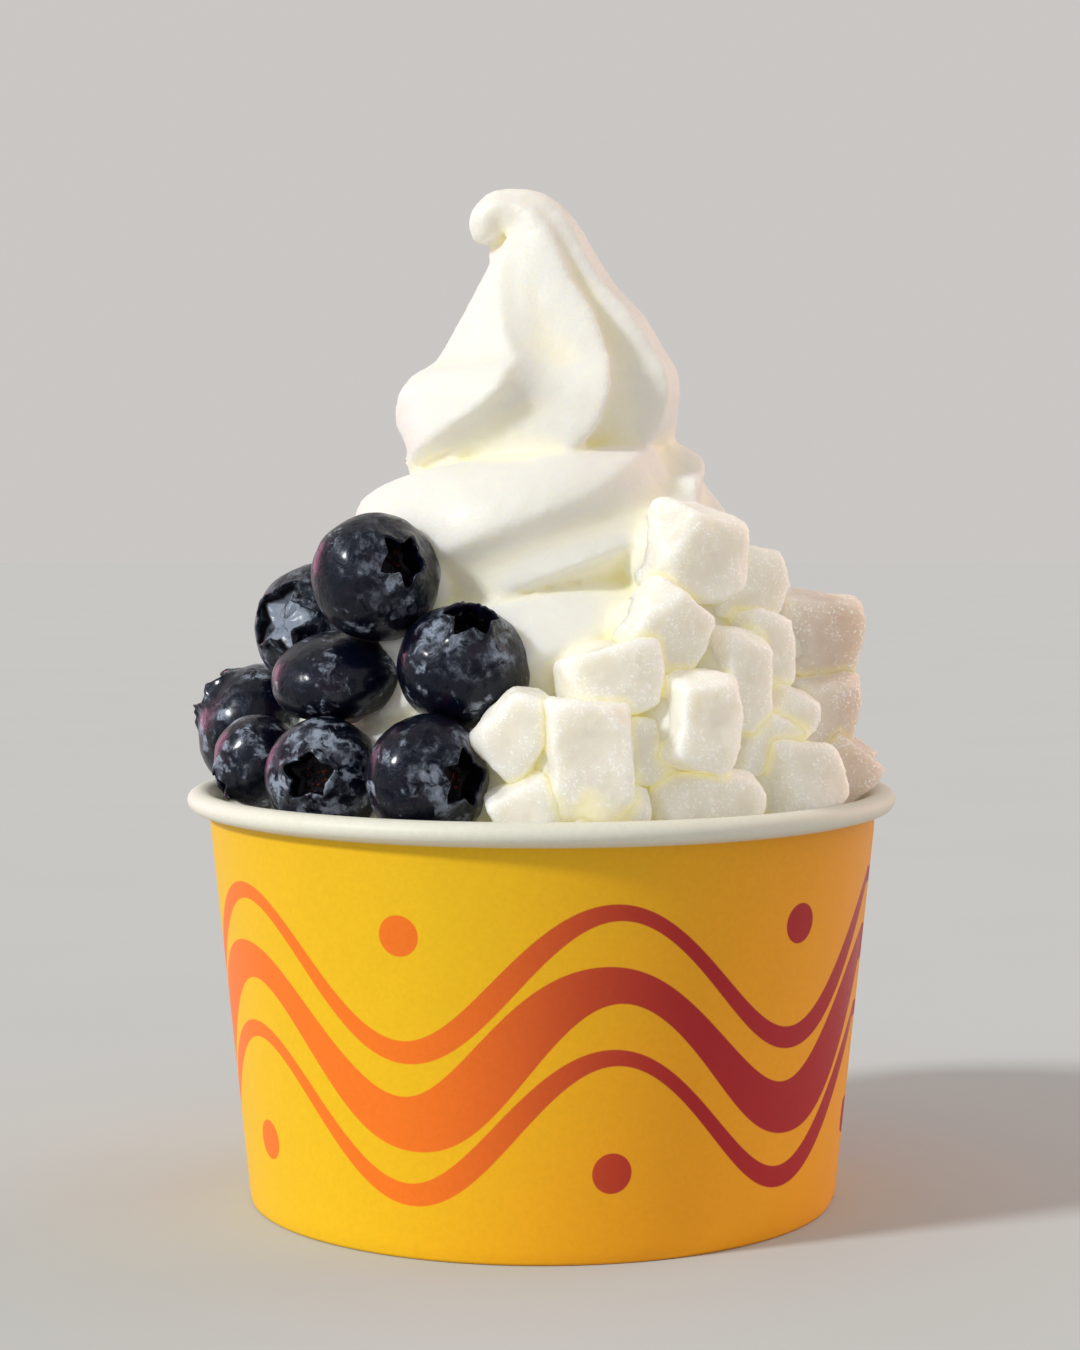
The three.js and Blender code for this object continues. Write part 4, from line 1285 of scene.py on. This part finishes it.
def turned_in(piece, place):
    """How much each vertex lies on the side towards the yogurt, at most INNER_SHADE."""
    middle, half = np.array(place[0]), sum(place[1]) / 3
    inward = np.array([-middle[0], -middle[1], -10.0])
    share = (vertices(piece.data) / MM - middle) @ (inward / np.linalg.norm(inward)) / half
    return INNER_SHADE * smooth(share, 0.2, 0.9)


def nearness(pieces, reach):
    """For each piece, how near each vertex lies to another piece: 1 touching, 0 at the reach."""
    places = [vertices(piece.data) for piece in pieces]
    found = []
    for own in range(len(pieces)):
        low, high = places[own].min(axis=0) - reach, places[own].max(axis=0) + reach
        others = [p[((p > low) & (p < high)).all(axis=1)] for k, p in enumerate(places) if k != own]
        others = np.concatenate(others)
        values = np.zeros(len(places[own]))
        if len(others):
            tree = KDTree(len(others))
            for k, place in enumerate(others):
                tree.insert(place, k)
            tree.balance()
            values = np.array([1 - min(tree.find(place)[2] / reach, 1) for place in places[own]])
        found.append(spread(pieces[own].data, values[:, None], NEAR_PASSES)[:, 0])
    return found


# ---- stage ----
# the frame in pixels, the camera's place in metres and its dip in radians, its focal length in
# pixels and the column of the frame that lies straight ahead
FRAME_WIDTH = 1080
FRAME_HEIGHT = 1350
CAMERA_PLACE = (0, -0.3935, 0.09472)
CAMERA_DIP = 0.0602
FOCAL_PIXELS = 2898
MIDDLE_COLUMN = 541.68
SENSOR_HEIGHT = 36
FLOOR_SIZE = 8
# bearing from the front towards +X, height and width in degrees, colour
KEY_LIGHT = (-62, 32, 8, (1.0, 1.0, 0.98))
FILL_LIGHT = (118, 20, 50, (1.0, 0.60, 0.48))
REAR_LIGHT = (-134, 8, 30, (1.0, 0.28, 0.55))


class YOGURTCUP_OT_stage(Operator):
    """Set the camera, the light and the floor"""
    bl_idname = "yogurtcup.stage"
    bl_label = "Stage"
    bl_options = {"REGISTER", "UNDO"}

    def execute(self, context):
        stage = context.scene.cup_of_yogurt.stage
        camera = added(bpy.ops.object.camera_add, location=CAMERA_PLACE,
                       rotation=(math.pi / 2 - CAMERA_DIP, 0, 0))
        camera.data.sensor_fit = "VERTICAL"
        camera.data.sensor_height = SENSOR_HEIGHT
        camera.data.lens = SENSOR_HEIGHT * FOCAL_PIXELS / FRAME_HEIGHT
        camera.data.shift_x = -(MIDDLE_COLUMN - FRAME_WIDTH / 2) / FRAME_HEIGHT
        context.scene.camera = camera
        for (bearing, rise, width, tone), energy in (
                (KEY_LIGHT, stage.key_strength), (FILL_LIGHT, stage.fill_strength),
                (REAR_LIGHT, stage.rear_strength)):
            bearing, rise = math.radians(bearing), math.radians(rise)
            away = -Vector((math.sin(bearing) * math.cos(rise), -math.cos(bearing) * math.cos(rise),
                            math.sin(rise)))
            light = added(bpy.ops.object.light_add, type="SUN",
                          rotation=away.to_track_quat("-Z", "Y").to_euler()).data
            light.energy = energy
            light.angle = math.radians(width)
            light.color = tone
        world = bpy.data.worlds.new("surroundings")
        world.use_nodes = True
        background = world.node_tree.nodes["Background"]
        background.inputs["Color"].default_value = (*stage.sky, 1)
        background.inputs["Strength"].default_value = stage.sky_strength
        context.scene.world = world
        context.scene.view_settings.view_transform = "Standard"
        floor = added(bpy.ops.mesh.primitive_plane_add, size=FLOOR_SIZE)
        floor.name = "floor"
        floor.data.materials.append(floor_finish(stage.floor))
        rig.stage(floor)
        return {"FINISHED"}


class YOGURTCUP_PT_panel(Panel):
    """Sidebar panel with the pieces and their settings"""
    bl_idname = "YOGURTCUP_PT_panel"
    bl_label = "Yogurt cup"
    bl_space_type = "VIEW_3D"
    bl_region_type = "UI"
    bl_category = "Yogurt cup"

    def draw(self, context):
        settings = context.scene.cup_of_yogurt
        for operator, group in (
                (YOGURTCUP_OT_stage, settings.stage), (YOGURTCUP_OT_wall, settings.cup),
                (YOGURTCUP_OT_base, None), (YOGURTCUP_OT_yogurt, settings.yogurt),
                (YOGURTCUP_OT_blueberries, settings.berry), (YOGURTCUP_OT_mochi, settings.mochi)):
            box = self.layout.box()
            box.operator(operator.bl_idname)
            for name in (group.bl_rna.properties.keys() if group else ()):
                if name not in {"rna_type", "name"}:
                    box.prop(group, name)


CLASSES = (
    CupSettings, YogurtSettings, BerrySettings, MochiSettings, StageSettings, CupOfYogurt,
    YOGURTCUP_OT_stage, YOGURTCUP_OT_wall, YOGURTCUP_OT_base, YOGURTCUP_OT_yogurt,
    YOGURTCUP_OT_blueberries, YOGURTCUP_OT_mochi, YOGURTCUP_PT_panel,
)


def register():
    for cls in CLASSES:
        bpy.utils.register_class(cls)
    bpy.types.Scene.cup_of_yogurt = PointerProperty(type=CupOfYogurt)


def unregister():
    del bpy.types.Scene.cup_of_yogurt
    for cls in reversed(CLASSES):
        bpy.utils.unregister_class(cls)


def main():
    register()
    bpy.ops.yogurtcup.stage()
    bpy.ops.yogurtcup.wall()
    bpy.ops.yogurtcup.base()
    bpy.ops.yogurtcup.yogurt()
    bpy.ops.yogurtcup.blueberries()
    bpy.ops.yogurtcup.mochi()
    low, high = CAD_BOX
    now_low, now_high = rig.bounds()
    with open("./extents.json", "w", encoding="utf-8") as sizes:
        json.dump({"cad": [list(low), list(high)], "visual": [list(now_low), list(now_high)]}, sizes)


if __name__ == "__main__":
    main()
